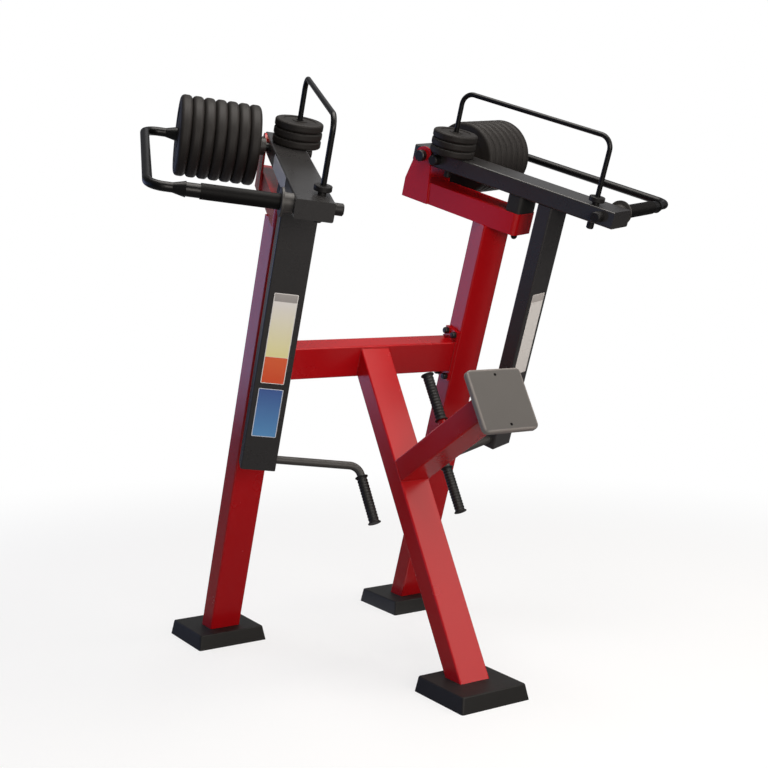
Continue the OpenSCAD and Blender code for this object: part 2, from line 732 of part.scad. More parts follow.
// Cones with their large end toward the beam, necks and the bar itself
module disc_loop(side) {
  leg_end = -beam_w / 2 - loop_nut_h + 10;
  color(black) arm_frame(side) {
    for (u = [-loop_back, loop_front]) {
      across(u, beam_mid, -beam_w / 2) cylinder(h = beam_w / 2 + loop_out - loop_bend, d = loop_d);
      across(u, beam_mid, leg_end) cylinder(h = 40, d = loop_thread_d);
      across(u, beam_mid, cone_start + seat) cylinder(h = cone_l, d1 = sleeve_d, d2 = loop_d);
    }
    across(loop_front, beam_mid, neck_start) cylinder(h = neck_l + seat, d = neck_d);
    place(-loop_back, beam_mid, loop_out - loop_bend) mirror([0, 1, 0]) bend(loop_d, loop_bend, 90);
    place(loop_front, beam_mid, loop_out - loop_bend) bend(loop_d, loop_bend, 90);
    translate([loop_out, loop_back - loop_bend, beam_mid]) rotate([90, 0, 0])
      cylinder(h = loop_back + loop_front - 2 * loop_bend, d = loop_d);
  }
}

module loop_sleeves(side) {
  color(black) arm_frame(side) {
    across(-loop_back, beam_mid, 0)
      ring(sleeve_d, loop_d + 2 * weld_fit, beam_w / 2 + rear_collar_l, cone_start);
    across(loop_front, beam_mid, 0)
      ring(sleeve_d, loop_d + 2 * weld_fit, beam_w / 2 + front_collar_l, neck_start);
  }
}

module collar(u, from, to, flange = false) {
  across(u, beam_mid, 0) difference() {
    union() {
      round_pin(collar_d, from, to, collar_round);
      if (flange) round_pin(collar_flange_d, to - collar_flange_t, to, 2);
    }
    translate([0, 0, from - 1]) cylinder(h = to - from + 2, d = loop_d + 2 * weld_fit);
  }
}

module loop_collars(side) {
  color(black) arm_frame(side) {
    collar(-loop_back, ear_outer + ear_gap, beam_w / 2 + rear_collar_l);
    collar(loop_front, beam_w / 2, beam_w / 2 + front_collar_l, true);
  }
}

module dome_nut(d, h, thread, depth) {
  difference() {
    rotate_extrude() polygon([[0, 0], [d / 2, 0], [d / 2, h - 3], [d / 2 - 3, h], [0, h]]);
    translate([0, 0, -1]) cylinder(h = depth + 1, d = thread);
  }
}

module loop_nuts(side) {
  color(black) arm_frame(side) for (u = [-loop_back, loop_front]) across(u, beam_mid, -beam_w / 2)
    mirror([0, 0, 1]) dome_nut(loop_nut_d, loop_nut_h, loop_thread_d + 2 * pin_play, loop_nut_h - 9);
}

module small_loop(side) {
  top = beam_top + rod_rise;
  color(black) arm_frame(side) translate([-rod_inset, 0, 0]) {
    for (u = [-rod_back, rod_front])
      place(u, beam_bottom - rod_nut_h + 6, 0)
        cylinder(h = top - rod_bend - beam_bottom + rod_nut_h - 6, d = rod_d);
    place(-rod_back, top - rod_bend, 0) rotate([0, -90, 180]) bend(rod_d, rod_bend, 90);
    place(rod_front, top - rod_bend, 0) rotate([0, -90, 0]) bend(rod_d, rod_bend, 90);
    translate([0, rod_back - rod_bend, top]) rotate([90, 0, 0])
      cylinder(h = rod_back + rod_front - 2 * rod_bend, d = rod_d);
  }
}

// Support ring on its neck, where small discs rest when they are moved to the front leg
module small_loop_ring(side) {
  color(black) arm_frame(side) place(rod_front, beam_top, -rod_inset) difference() {
    rotate_extrude() polygon([
      [0, 0], [ring_neck_d / 2, 0], [ring_neck_d / 2, ring_neck_l], [ring_d / 2 - 1.5, ring_neck_l],
      [ring_d / 2, ring_neck_l + 1.5], [ring_d / 2, ring_neck_l + ring_t - 1.5],
      [ring_d / 2 - 1.5, ring_neck_l + ring_t], [0, ring_neck_l + ring_t]
    ]);
    translate([0, 0, -1]) cylinder(h = ring_neck_l + ring_t + 2, d = rod_d + 2 * weld_fit);
  }
}

module small_loop_nuts(side) {
  color(black) arm_frame(side) for (u = [-rod_back, rod_front]) place(u, beam_bottom, -rod_inset)
    mirror([0, 0, 1]) dome_nut(rod_nut_d, rod_nut_h, rod_d + 2 * pin_play, rod_nut_h - 5);
}

// Weight disc along +Z with a rounded rim, a hub and a shallow ring in each face
module disc(d, t, bore, round) {
  hub = bore / 2 + d * 0.07;
  web = d / 2 * 0.68;
  difference() {
    rotate_extrude($fn = 96) {
      translate([bore / 2, 0]) square([d / 2 - round - bore / 2, t]);
      translate([d / 2 - round - 0.01, round]) square([round + 0.01, t - 2 * round]);
      for (z = [round, t - round]) translate([d / 2 - round, z]) circle(round);
    }
    for (z = [-1, t - web_depth]) ring(2 * web, 2 * hub, z, z + web_depth + 1);
  }
}

module big_discs(side) {
  hang = (big_bore - sleeve_d) / 2 - seat;
  down = turn_x(-post_lean, [0, 0, -1]);
  color(rubber) arm_frame(side) across(-loop_back - down.y * hang, beam_mid + down.z * hang, 0)
    for (i = [0:big_n - 1]) translate([0, 0, stack_start + i * (big_t + disc_gap)])
      disc(big_d, big_t, big_bore, big_round);
}

module small_discs(side) {
  color(rubber) arm_frame(side) place(-rod_back, beam_top + seat, -rod_inset)
    for (i = [0:small_n - 1]) translate([0, 0, i * (small_t + disc_gap)])
      disc(small_d, small_t, small_bore, small_round);
}

post(-1);  // left_post
post(1);  // right_post
crossbar();
crossbar_bolts();
crossbar_bolt_caps();
crossbar_inserts();
front_leg();
pad_strut();
pad_plate();
chest_pad();
pad_screws();
fixed_handle();
fixed_handle_grip();
base_plates();
rear_cover(-1);  // left_foot_cover
rear_cover(1);  // right_foot_cover
front_foot_cover();
bracket(-1);  // left_bracket
bracket(1);  // right_bracket
pivot_ears(-1);  // left_pivot_ears
pivot_ears(1);  // right_pivot_ears
stop_block(-1);  // left_stop_block
stop_block(1);  // right_stop_block
stop_bolts();
pivot_pins();
pivot_pin_caps();
beam(-1);  // left_beam
beam(1);  // right_beam
end_plates(-1);  // left_end_plates
end_plates(1);  // right_end_plates
drop_arm(-1);  // left_drop_arm
drop_arm(1);  // right_drop_arm
pivot_hub(-1);  // left_pivot_hub
pivot_hub(1);  // right_pivot_hub
pivot_bushes(-1);  // left_pivot_bushes
pivot_bushes(1);  // right_pivot_bushes
handle(-1);  // left_handle
handle(1);  // right_handle
grip(-1);  // left_grip
grip(1);  // right_grip
disc_loop(-1);  // left_disc_loop
disc_loop(1);  // right_disc_loop
loop_sleeves(-1);  // left_loop_sleeves
loop_sleeves(1);  // right_loop_sleeves
loop_collars(-1);  // left_loop_collars
loop_collars(1);  // right_loop_collars
loop_nuts(-1);  // left_loop_nuts
loop_nuts(1);  // right_loop_nuts
small_loop(-1);  // left_small_loop
small_loop(1);  // right_small_loop
small_loop_ring(-1);  // left_small_loop_ring
small_loop_ring(1);  // right_small_loop_ring
small_loop_nuts(-1);  // left_small_loop_nuts
small_loop_nuts(1);  // right_small_loop_nuts
big_discs(-1);  // left_big_discs
big_discs(1);  // right_big_discs
small_discs(-1);  // left_small_discs
small_discs(1);  // right_small_discs
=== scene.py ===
# The look of an outdoor standing row machine: paint, rubber, welds, grips, pad, plates, light and camera
import json
import logging
import math
from dataclasses import dataclass, replace
from enum import Enum
from typing import Sequence

import bmesh
import bpy
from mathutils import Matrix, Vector


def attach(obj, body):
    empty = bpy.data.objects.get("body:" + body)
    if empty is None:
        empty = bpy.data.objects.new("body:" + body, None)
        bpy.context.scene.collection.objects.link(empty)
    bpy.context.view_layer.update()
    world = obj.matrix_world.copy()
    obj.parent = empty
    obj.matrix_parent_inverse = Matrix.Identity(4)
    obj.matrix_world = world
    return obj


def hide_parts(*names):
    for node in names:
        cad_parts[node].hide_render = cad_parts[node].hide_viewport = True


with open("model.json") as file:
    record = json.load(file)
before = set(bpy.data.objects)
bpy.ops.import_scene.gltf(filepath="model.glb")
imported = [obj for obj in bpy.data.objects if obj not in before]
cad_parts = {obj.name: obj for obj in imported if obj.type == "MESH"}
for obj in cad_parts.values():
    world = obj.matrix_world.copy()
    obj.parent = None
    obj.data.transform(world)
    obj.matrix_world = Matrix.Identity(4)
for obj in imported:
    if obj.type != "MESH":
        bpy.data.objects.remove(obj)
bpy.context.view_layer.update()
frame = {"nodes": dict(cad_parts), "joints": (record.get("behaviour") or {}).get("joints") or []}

LOG = logging.getLogger("row_machine")
MM = 0.001
# Radius in millimetres that stands for a point on the axis of a turned shape
ON_AXIS = 0.01
# Points of a mesh that lie closer than this many metres are one point
SAME_POINT = 1e-7
# A rise in millimetres below which an edge counts as level
LEVEL = 1e-6


class Side(Enum):
    """The two sides of the machine, as its user sees them."""

    LEFT = "left"
    RIGHT = "right"


def linear(colour: str) -> tuple[float, float, float, float]:
    """Turns an sRGB hex colour into Blender's linear RGBA.

    Args:
        colour: a colour such as "#A5131B".

    Returns:
        The four linear channels, with alpha 1.
    """
    channels = [int(colour[i:i + 2], 16) / 255 for i in (1, 3, 5)]
    lit = [c / 12.92 if c <= 0.04045 else ((c + 0.055) / 1.055) ** 2.4 for c in channels]
    return (lit[0], lit[1], lit[2], 1.0)


def add_node(tree: bpy.types.NodeTree, kind: str, settings: dict, links: dict) -> bpy.types.Node:
    """Adds one node with its settings and links.

    Args:
        tree: the node tree that gets it.
        kind: the node's type.
        settings: values by property name, input name or input number.
        links: output sockets by input name or input number.

    Returns:
        The new node.
    """
    node = tree.nodes.new(kind)
    for name, value in settings.items():
        if isinstance(name, int) or name in node.inputs:
            node.inputs[name].default_value = value
        else:
            setattr(node, name, value)
    for name, socket in links.items():
        tree.links.new(socket, node.inputs[name])
    return node


@dataclass(frozen=True)
class Finish:
    """A surface as it leaves the works: its colour, its gloss and the grain that its making leaves."""

    name: str
    colour: str
    roughness: float
    slot: str
    # Size and depth of the finest grain that making the surface leaves
    grain_mm: float = 2.5
    grain_depth_mm: float = 0.02
    # Size and strength of the slow change of tone across a piece
    mottle_mm: float = 180.0
    mottle: float = 0.06
    gloss_change: float = 0.04
    # Gloss of the surface, where 0.5 is what its index of refraction gives by itself
    sheen: float = 0.5

    def constants(self) -> dict:
        """Gives the shader sockets that are the same all over the surface."""
        return {}

    def tones(self) -> tuple[Sequence[float], Sequence[float]]:
        """Gives the two tones between which the surface's colour drifts.

        Returns:
            The darker and the lighter linear RGBA colour.
        """
        base = linear(self.colour)
        dark = [c * (1 - self.mottle) for c in base[:3]] + [1.0]
        light = [min(1.0, c * (1 + self.mottle)) for c in base[:3]] + [1.0]
        return dark, light

    def colour_socket(self, tree: bpy.types.NodeTree, place: bpy.types.NodeSocket) -> bpy.types.NodeSocket:
        """Builds the colour, which drifts slowly between two tones.

        Args:
            tree: the material's node tree.
            place: the object coordinates.

        Returns:
            The colour output.
        """
        dark, light = self.tones()
        drift = add_node(tree, "ShaderNodeTexNoise", {"Scale": 1 / (self.mottle_mm * MM), "Detail": 3.0},
                         {"Vector": place})
        mix = add_node(tree, "ShaderNodeMix", {"data_type": "RGBA", 6: dark, 7: light},
                       {0: drift.outputs["Fac"]})
        return mix.outputs[2]

    def height_socket(self, tree: bpy.types.NodeTree, place: bpy.types.NodeSocket) -> bpy.types.NodeSocket:
        """Builds the height of the surface's grain.

        Args:
            tree: the material's node tree.
            place: the object coordinates.

        Returns:
            The height output, from 0 to 1.
        """
        grain = add_node(tree, "ShaderNodeTexNoise", {"Scale": 1 / (self.grain_mm * MM), "Detail": 2.0},
                         {"Vector": place})
        return grain.outputs["Fac"]

    def material(self) -> bpy.types.Material:
        """Gives the finish's material, and makes it the first time that it is asked for.

        Returns:
            The material that every piece of this finish shares.
        """
        known = bpy.data.materials.get(self.name)
        if known is not None:
            return known
        material = bpy.data.materials.new(self.name)
        material.use_nodes = True
        tree = material.node_tree
        tree.nodes.clear()
        place = add_node(tree, "ShaderNodeTexCoord", {}, {}).outputs["Object"]
        bump = add_node(tree, "ShaderNodeBump", {"Distance": self.grain_depth_mm * MM, "Strength": 1.0},
                        {"Height": self.height_socket(tree, place)})
        haze = add_node(tree, "ShaderNodeTexNoise", {"Scale": 2 / (self.mottle_mm * MM), "Detail": 4.0},
                        {"Vector": place})
        gloss = add_node(tree, "ShaderNodeMapRange",
                         {"To Min": self.roughness - self.gloss_change,
                          "To Max": self.roughness + self.gloss_change},
                         {"Value": haze.outputs["Fac"]})
        shader = add_node(tree, "ShaderNodeBsdfPrincipled", self.constants(),
                          {"Base Color": self.colour_socket(tree, place),
                           "Roughness": gloss.outputs["Result"], "Normal": bump.outputs["Normal"]})
        add_node(tree, "ShaderNodeOutputMaterial", {}, {"Surface": shader.outputs["BSDF"]})
        return material


@dataclass(frozen=True)
class PowderCoat(Finish):
    """Polyester powder baked on steel: a glossy film whose faint orange peel softens reflections."""

    def constants(self) -> dict:
        """Gives the film's index of refraction and the part of its gloss that the orange peel leaves."""
        return {"IOR": 1.5, "Specular IOR Level": self.sheen}


@dataclass(frozen=True)
class MouldedRubber(Finish):
    """Vulcanised or integral-skin rubber from a blasted mould: matte, with a fine even grain."""

    def constants(self) -> dict:
        """Gives rubber's index of refraction."""
        return {"IOR": 1.52, "Specular IOR Level": self.sheen}


@dataclass(frozen=True)
class WearAndHighlightSkin(MouldedRubber):
    """Integral-skin foam whose rim is painted paler: partly wear, partly a painted highlight of the rounded
    edge.
    """

    # Colour of the paler rim: rubbed wear together with a painted highlight
    wear_and_highlight_colour: str = "#7B7571"
    # The pad's middle in metres, its two directions along the face and its half sizes in millimetres
    middle: tuple[float, float, float] = (0.0, 0.0, 0.0)
    across: tuple[float, float, float] = (1.0, 0.0, 0.0)
    upward: tuple[float, float, float] = (0.0, 0.0, 1.0)
    half: tuple[float, float] = (100.0, 100.0)
    # Where the paler rim begins and where it is full, in millimetres in from the pad's side
    fade_mm: tuple[float, float] = (10.0, 4.0)
    # Size of the noise that makes the paler rim ragged, and how far the rim's edge wanders with it
    rim_wobble_mm: float = 22.0
    wander_mm: float = 3.0

    def inset(self, tree: bpy.types.NodeTree, away: bpy.types.NodeSocket, direction: Sequence[float],
              half: float) -> bpy.types.NodeSocket:
        """Measures how far a point stands past one pair of the pad's sides.

        Args:
            tree: the material's node tree.
            away: the point counted from the pad's middle.
            direction: the direction in which the two sides face.
            half: half the distance between them, in millimetres.

        Returns:
            The distance in metres, negative inside.
        """
        along = add_node(tree, "ShaderNodeVectorMath", {"operation": "DOT_PRODUCT", 1: direction},
                         {0: away})
        reach = add_node(tree, "ShaderNodeMath", {"operation": "ABSOLUTE"}, {0: along.outputs["Value"]})
        past = add_node(tree, "ShaderNodeMath", {"operation": "SUBTRACT", 1: half * MM},
                        {0: reach.outputs["Value"]})
        return past.outputs["Value"]

    def colour_socket(self, tree: bpy.types.NodeTree, place: bpy.types.NodeSocket) -> bpy.types.NodeSocket:
        """Builds the skin's colour and the paler rim of wear and painted highlight along its edge.

        Args:
            tree: the material's node tree.
            place: the object coordinates.

        Returns:
            The colour output.
        """
        skin = super().colour_socket(tree, place)
        away = add_node(tree, "ShaderNodeVectorMath", {"operation": "SUBTRACT", 1: self.middle}, {0: place})
        sides = [self.inset(tree, away.outputs["Vector"], direction, half)
                 for direction, half in ((self.across, self.half[0]), (self.upward, self.half[1]))]
        edge = add_node(tree, "ShaderNodeMath", {"operation": "MAXIMUM"}, {0: sides[0], 1: sides[1]})
        rim_wobble = add_node(tree, "ShaderNodeTexNoise", {"Scale": 1 / (self.rim_wobble_mm * MM), "Detail": 3.0},
                          {"Vector": place})
        ragged = add_node(tree, "ShaderNodeMath", {"operation": "MULTIPLY_ADD", 1: self.wander_mm * MM},
                          {0: rim_wobble.outputs["Fac"], 2: edge.outputs["Value"]})
        shift = self.wander_mm / 2
        wear_and_highlight_share = add_node(tree, "ShaderNodeMapRange",
                        {"interpolation_type": "SMOOTHSTEP", "From Min": (shift - self.fade_mm[0]) * MM,
                         "From Max": (shift - self.fade_mm[1]) * MM}, {"Value": ragged.outputs["Value"]})
        mix = add_node(tree, "ShaderNodeMix", {"data_type": "RGBA", 7: linear(self.wear_and_highlight_colour)},
                       {0: wear_and_highlight_share.outputs["Result"], 6: skin})
        return mix.outputs[2]


@dataclass(frozen=True)
class MouldedPlastic(Finish):
    """Injection-moulded polyamide: smoother than rubber, with a soft broad highlight."""

    def constants(self) -> dict:
        """Gives polyamide's index of refraction."""
        return {"IOR": 1.53, "Specular IOR Level": self.sheen}


@dataclass(frozen=True)
class BareMetal(Finish):
    """Uncoated metal, such as stainless steel or bronze, turned or stamped, with short tool marks."""

    def constants(self) -> dict:
        """Makes the surface metal."""
        return {"Metallic": 1.0}


@dataclass(frozen=True)
class Galvanised(Finish):
    """Hot-dip zinc on plate, frozen into grey spangles that each catch the light in their own way."""

    spangle_mm: float = 14.0

    def constants(self) -> dict:
        """Makes the surface metal."""
        return {"Metallic": 1.0}

    def colour_socket(self, tree: bpy.types.NodeTree, place: bpy.types.NodeSocket) -> bpy.types.NodeSocket:
        """Builds the spangles, one tone to each.

        Args:
            tree: the material's node tree.
            place: the object coordinates.

        Returns:
            The colour output.
        """
        dark, light = self.tones()
        spangles = add_node(tree, "ShaderNodeTexVoronoi", {"Scale": 1 / (self.spangle_mm * MM)},
                            {"Vector": place})
        tone = add_node(tree, "ShaderNodeSeparateColor", {}, {"Color": spangles.outputs["Color"]})
        mix = add_node(tree, "ShaderNodeMix", {"data_type": "RGBA", 6: dark, 7: light},
                       {0: tone.outputs["Red"]})
        return mix.outputs[2]


@dataclass(frozen=True)
class PrintedVinyl(Finish):
    """Printed vinyl sheet under clear film, whose ink fades from one tone to another along its length."""

    # The ink's tone at its far end
    faded: str = "#FFFFFF"
    # Share of the face that the clear film covers
    film: float = 0.3
    # The two places in metres between which the ink fades
    start: tuple[float, float, float] = (0.0, 0.0, 0.0)
    end: tuple[float, float, float] = (0.0, 0.0, 1.0)

    def constants(self) -> dict:
        """Gives the clear film over the ink."""
        return {"IOR": 1.5, "Coat Weight": self.film, "Coat Roughness": 0.1}

    def colour_socket(self, tree: bpy.types.NodeTree, place: bpy.types.NodeSocket) -> bpy.types.NodeSocket:
        """Builds the ink's fade from start to end.

        Args:
            tree: the material's node tree.
            place: the object coordinates.

        Returns:
            The colour output.
        """
        run = Vector(self.end) - Vector(self.start)
        offset = add_node(tree, "ShaderNodeVectorMath", {"operation": "SUBTRACT", 1: self.start},
                          {0: place})
        share = add_node(tree, "ShaderNodeVectorMath",
                         {"operation": "DOT_PRODUCT", 1: run / run.length_squared},
                         {0: offset.outputs["Vector"]})
        mix = add_node(tree, "ShaderNodeMix",
                       {"data_type": "RGBA", 6: linear(self.colour), 7: linear(self.faded)},
                       {0: share.outputs["Value"]})
        return mix.outputs[2]


# Gloss polyester powder on the frame's tubes. Orange peel is 2 to 3 mm across and is drawn at 5 mm,
# because finer peel is lost in the render: it lets the edges of reflections swim a little
RED_COAT = PowderCoat("red_polyester_powder", "#B40A12", 0.26, "red_powder_coat", grain_mm=5.0,
                      grain_depth_mm=0.008, mottle=0.04)
# The same powder in black on the arms, which shows grey wherever it mirrors the pale room
BLACK_COAT = PowderCoat("black_polyester_powder", "#2E2D2D", 0.28, "black_powder_coat", grain_mm=5.0,
                        grain_depth_mm=0.008, mottle=0.08)
# Small turned and bent pieces carry a matt powder, whose highlight spreads wide and soft
SATIN_BLACK = PowderCoat("satin_black_polyester_powder", "#3A3836", 0.50, "black_powder_coat",
                         grain_mm=4.0, grain_depth_mm=0.02, mottle=0.08)
# Round bar is dipped and stoved: a thin dark film, drawn out smooth along the bar
BLACK_BAR = PowderCoat("black_bar_coat", "#070707", 0.34, "black_steel", grain_mm=3.0,
                       grain_depth_mm=0.01, mottle=0.10, sheen=0.32)
# Nuts and the ring are barrel-coated in black zinc flake, which dries matt and hides the turning marks
BLACK_NUT = PowderCoat("black_zinc_flake", "#141313", 0.50, "black_steel", grain_mm=1.2,
                       grain_depth_mm=0.02, mottle_mm=40, mottle=0.10, sheen=0.35)
# Powder lies thin and uneven over the scales of a weld, so its gloss breaks up
WELD_RED = PowderCoat("red_powder_over_weld", "#A60910", 0.46, "red_powder_coat", grain_mm=3.0,
                      grain_depth_mm=0.05, sheen=0.35)
WELD_BLACK = PowderCoat("black_powder_over_weld", "#232221", 0.50, "black_powder_coat", grain_mm=3.0,
                        grain_depth_mm=0.05, sheen=0.3)
# Rubber moulded on iron in a blasted mould: near black, with a dusty grain of about 1 mm
DISC_RUBBER = MouldedRubber("disc_rubber", "#1F1C1A", 0.58, "coated_iron_disc", grain_mm=1.2,
                            grain_depth_mm=0.03, mottle_mm=70, mottle=0.12, sheen=0.28)
# Thick rubber hoods over the feet, duller than the discs and greyed by dust from the ground
FOOT_RUBBER = MouldedRubber("foot_cover_rubber", "#12110F", 0.60, "black_rubber", grain_mm=1.6,
                            grain_depth_mm=0.06, mottle_mm=90, mottle=0.14, sheen=0.4)
# Soft vulcanised rubber sleeves on the handles, whose fine grain hands keep matt
GRIP_RUBBER = MouldedRubber("grip_rubber", "#0E0D0D", 0.55, "black_rubber", grain_mm=0.9,
                            grain_depth_mm=0.04, sheen=0.4)
# Hard rubber blocks cut from sheet, the dullest black on the machine
STOP_RUBBER = MouldedRubber("stop_rubber", "#1A1A19", 0.65, "black_rubber", grain_mm=1.5,
                            grain_depth_mm=0.06)
# Integral-skin polyurethane foam: a leathery grey-brown skin whose grain is pressed in by the mould
# Its rim is painted paler, partly for wear and partly as a painted highlight of the rounded edge
PAD_SKIN = WearAndHighlightSkin("pad_skin", "#4B4845", 0.50, "grey_rubber", grain_mm=1.1, grain_depth_mm=0.05,
                    mottle_mm=60, mottle=0.05)
# Domed polyamide caps straight from a polished mould, with one small soft light on each
CAP_PLASTIC = MouldedPlastic("cap_plastic", "#101010", 0.42, "black_plastic", grain_mm=0.8,
                             grain_depth_mm=0.02)
# Low-friction sleeve that the discs run on, turned from solid bar and polished only by their bores
SLEEVE_PLASTIC = MouldedPlastic("sleeve_plastic", "#090808", 0.55, "black_plastic", grain_mm=1.0,
                                grain_depth_mm=0.01, sheen=0.12)
# Black oxide turns steel dark all through its thin skin and leaves the metal's own reflections
BLACK_OXIDE = BareMetal("black_oxide_steel", "#1C1C1D", 0.42, "steel_fastener", grain_mm=0.6,
                        grain_depth_mm=0.02)
# Stamped and rolled stainless steel, bright between the short marks of the tools
STAINLESS = BareMetal("stainless_steel", "#B9BBBD", 0.30, "steel_fastener", grain_mm=0.6,
                      grain_depth_mm=0.02)
# Pressed and sintered bronze, whose oil-filled pores give it a dull yellow-brown face
BRONZE = BareMetal("sintered_bronze", "#B08A52", 0.38, "bronze_bush", grain_mm=0.5, grain_depth_mm=0.02)
# Plate dipped in molten zinc, whose frozen spangles of about 14 mm give it patches of light and dark grey
ZINC = Galvanised("galvanised_plate", "#9DA1A4", 0.45, "galvanised_steel", grain_mm=1.5, mottle=0.18)
# Calendered vinyl sheet, printed and covered with clear film: flat, even ink under a smooth gloss
PLATE_VINYL = PrintedVinyl("printed_vinyl", "#FFFFFF", 0.35, "black_powder_coat", grain_depth_mm=0.005)

NODE_FINISHES: dict[Finish, tuple[str, ...]] = {
    RED_COAT: ("left_post", "right_post", "crossbar", "front_leg", "pad_strut", "pad_plate", "fixed_handle",
               "left_bracket", "right_bracket", "left_pivot_ears", "right_pivot_ears"),
    STAINLESS: ("crossbar_bolts", "crossbar_inserts"),
    BLACK_OXIDE: ("pad_screws", "pivot_pins"),
    CAP_PLASTIC: ("crossbar_bolt_caps", "pivot_pin_caps"),
    ZINC: ("base_plates",),
    FOOT_RUBBER: ("left_foot_cover", "right_foot_cover", "front_foot_cover"),
    STOP_RUBBER: ("left_stop_block", "right_stop_block"),
    BLACK_BAR: ("stop_bolts",),
    PAD_SKIN: ("chest_pad",),
    GRIP_RUBBER: ("fixed_handle_grip",),
}

ARM_FINISHES: dict[Finish, tuple[str, ...]] = {
    BLACK_COAT: ("beam", "end_plates", "drop_arm", "pivot_hub"),
    SATIN_BLACK: ("handle", "loop_collars"),
    BLACK_BAR: ("disc_loop", "small_loop"),
    BLACK_NUT: ("loop_nuts", "small_loop_ring", "small_loop_nuts"),
    SLEEVE_PLASTIC: ("loop_sleeves",),
    BRONZE: ("pivot_bushes",),
    GRIP_RUBBER: ("grip",),
    DISC_RUBBER: ("big_discs", "small_discs"),
}


@dataclass(frozen=True)
class Axes:
    """A place on the machine with three directions of its own, in which sizes are millimetres."""

    origin: Vector
    x: Vector
    y: Vector
    z: Vector

    def at(self, x: float, y: float, z: float) -> Vector:
        """Turns a local place in millimetres into a point of the frame in metres."""
        return self.origin + (self.x * x + self.y * y + self.z * z) * MM

    def local(self, point: Vector) -> Vector:
        """Turns a point of the frame in metres into a local place in millimetres."""
        away = (point - self.origin) / MM
        return Vector((away.dot(self.x), away.dot(self.y), away.dot(self.z)))

    def span(self, node: str) -> tuple[Vector, Vector]:
        """Measures a CAD node along the three directions.

        Args:
            node: the node's name.

        Returns:
            Its lowest and highest local corner, in millimetres.
        """
        places = [self.local(vertex.co) for vertex in frame["nodes"][node].data.vertices]
        low = Vector([min(p[i] for p in places) for i in range(3)])
        high = Vector([max(p[i] for p in places) for i in range(3)])
        return low, high

    def moved(self, x: float, y: float, z: float) -> "Axes":
        """Gives the same directions at another local place."""
        return Axes(self.at(x, y, z), self.x, self.y, self.z)


def joint(name: str) -> dict:
    """Finds one of the machine's joints by its name."""
    return next(j for j in frame["joints"] if j["name"] == name)


def arm_axes(side: Side) -> Axes:
    """Works out an arm's axes from its joints: x outward along the pivot, y ahead, z up the post.

    Ahead is the user's side of the machine, where the front leg stands.

    Args:
        side: the side of the machine.

    Returns:
        Axes whose origin is the middle of the arm's pivot.
    """
    pivot = joint(f"{side.value}_arm_pivot")
    up = Vector(joint(f"{side.value}_small_disc_slide")["axis"]).normalized()
    out = Vector(joint(f"{side.value}_big_disc_slide")["axis"]).normalized()
    ahead = out.cross(up)
    if ahead.y > 0:
        ahead = -ahead
    return Axes(Vector(pivot["pos_m"]), out, ahead, up)


def frame_axes(lean: Vector, origin: Vector) -> Axes:
    """Gives the axes of a tube that leans only fore and aft.

    Args:
        lean: the tube's direction.
        origin: a point on its axis.

    Returns:
        Axes with x across the machine, y away from the user and z along the tube.
    """
    along = lean.normalized()
    across = Vector((1, 0, 0))
    return Axes(origin, across, along.cross(across), along)


@dataclass(frozen=True)
class Shell:
    """Points and faces of a mesh in the frame's metres."""

    points: list[Vector]
    faces: list[tuple[int, ...]]

    def piece(self, name: str, finish: Finish, body: str, smooth: float = 35.0) -> bpy.types.Object:
        """Makes the shell a piece of the machine.

        Args:
            name: the piece's name.
            finish: what its surface is.
            body: the body that it moves with.
            smooth: the largest angle, in degrees, that still shades as round.

        Returns:
            The new object.
        """
        mesh = bpy.data.meshes.new(name)
        mesh.from_pydata([tuple(p) for p in self.points], [], self.faces)
        build = bmesh.new()
        build.from_mesh(mesh)
        bmesh.ops.remove_doubles(build, verts=build.verts, dist=SAME_POINT)
        bmesh.ops.recalc_face_normals(build, faces=build.faces)
        build.to_mesh(mesh)
        build.free()
        mesh.polygons.foreach_set("use_smooth", [True] * len(mesh.polygons))
        mesh.set_sharp_from_angle(angle=math.radians(smooth))
        mesh.materials.append(finish.material())
        piece = bpy.data.objects.new(name, mesh)
        bpy.context.scene.collection.objects.link(piece)
        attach(piece, body)
        LOG.info("%s: %d faces on %s", name, len(mesh.polygons), body)
        return piece


def lathe(axes: Axes, profile: Sequence[tuple[float, float]], segments: int = 64) -> Shell:
    """Turns a profile about an axis.

    Args:
        axes: its z is the axis.
        profile: radius and height of each point in millimetres, from one end to the other.
        segments: how many flats go round.

    Returns:
        The turned shell.
    """
    points = []
    for radius, height in profile:
        for i in range(segments):
            turn = 2 * math.pi * i / segments
            points.append(axes.at(radius * math.cos(turn), radius * math.sin(turn), height))
    faces = []
    for row in range(len(profile) - 1):
        for i in range(segments):
            j = (i + 1) % segments
            faces.append((row * segments + i, row * segments + j,
                          (row + 1) * segments + j, (row + 1) * segments + i))
    return Shell(points, faces)


def rounded_outline(width: float, height: float, radius: float,
                    steps: int = 6) -> list[tuple[float, float]]:
    """Gives the points of a rounded rectangle about the origin.

    Args:
        width: its size along x.
        height: its size along y.
        radius: its corner radius.
        steps: points to each corner, less one.

    Returns:
        The points in order.
    """
    outline = []
    for corner in range(4):
        turn = corner * math.pi / 2
        sx = 1 if corner in (0, 3) else -1
        sy = 1 if corner in (0, 1) else -1
        for step in range(steps + 1):
            angle = turn + step / steps * math.pi / 2
            outline.append((sx * (width / 2 - radius) + radius * math.cos(angle),
                            sy * (height / 2 - radius) + radius * math.sin(angle)))
    return outline


def bar_ring(axes: Axes, diameter: float, steps: int = 8) -> list[Vector]:
    """Gives points round a bar that runs along z, in the plane of x and y."""
    return [axes.at(x, y, 0) for x, y in rounded_outline(diameter, diameter, diameter / 2, steps)]


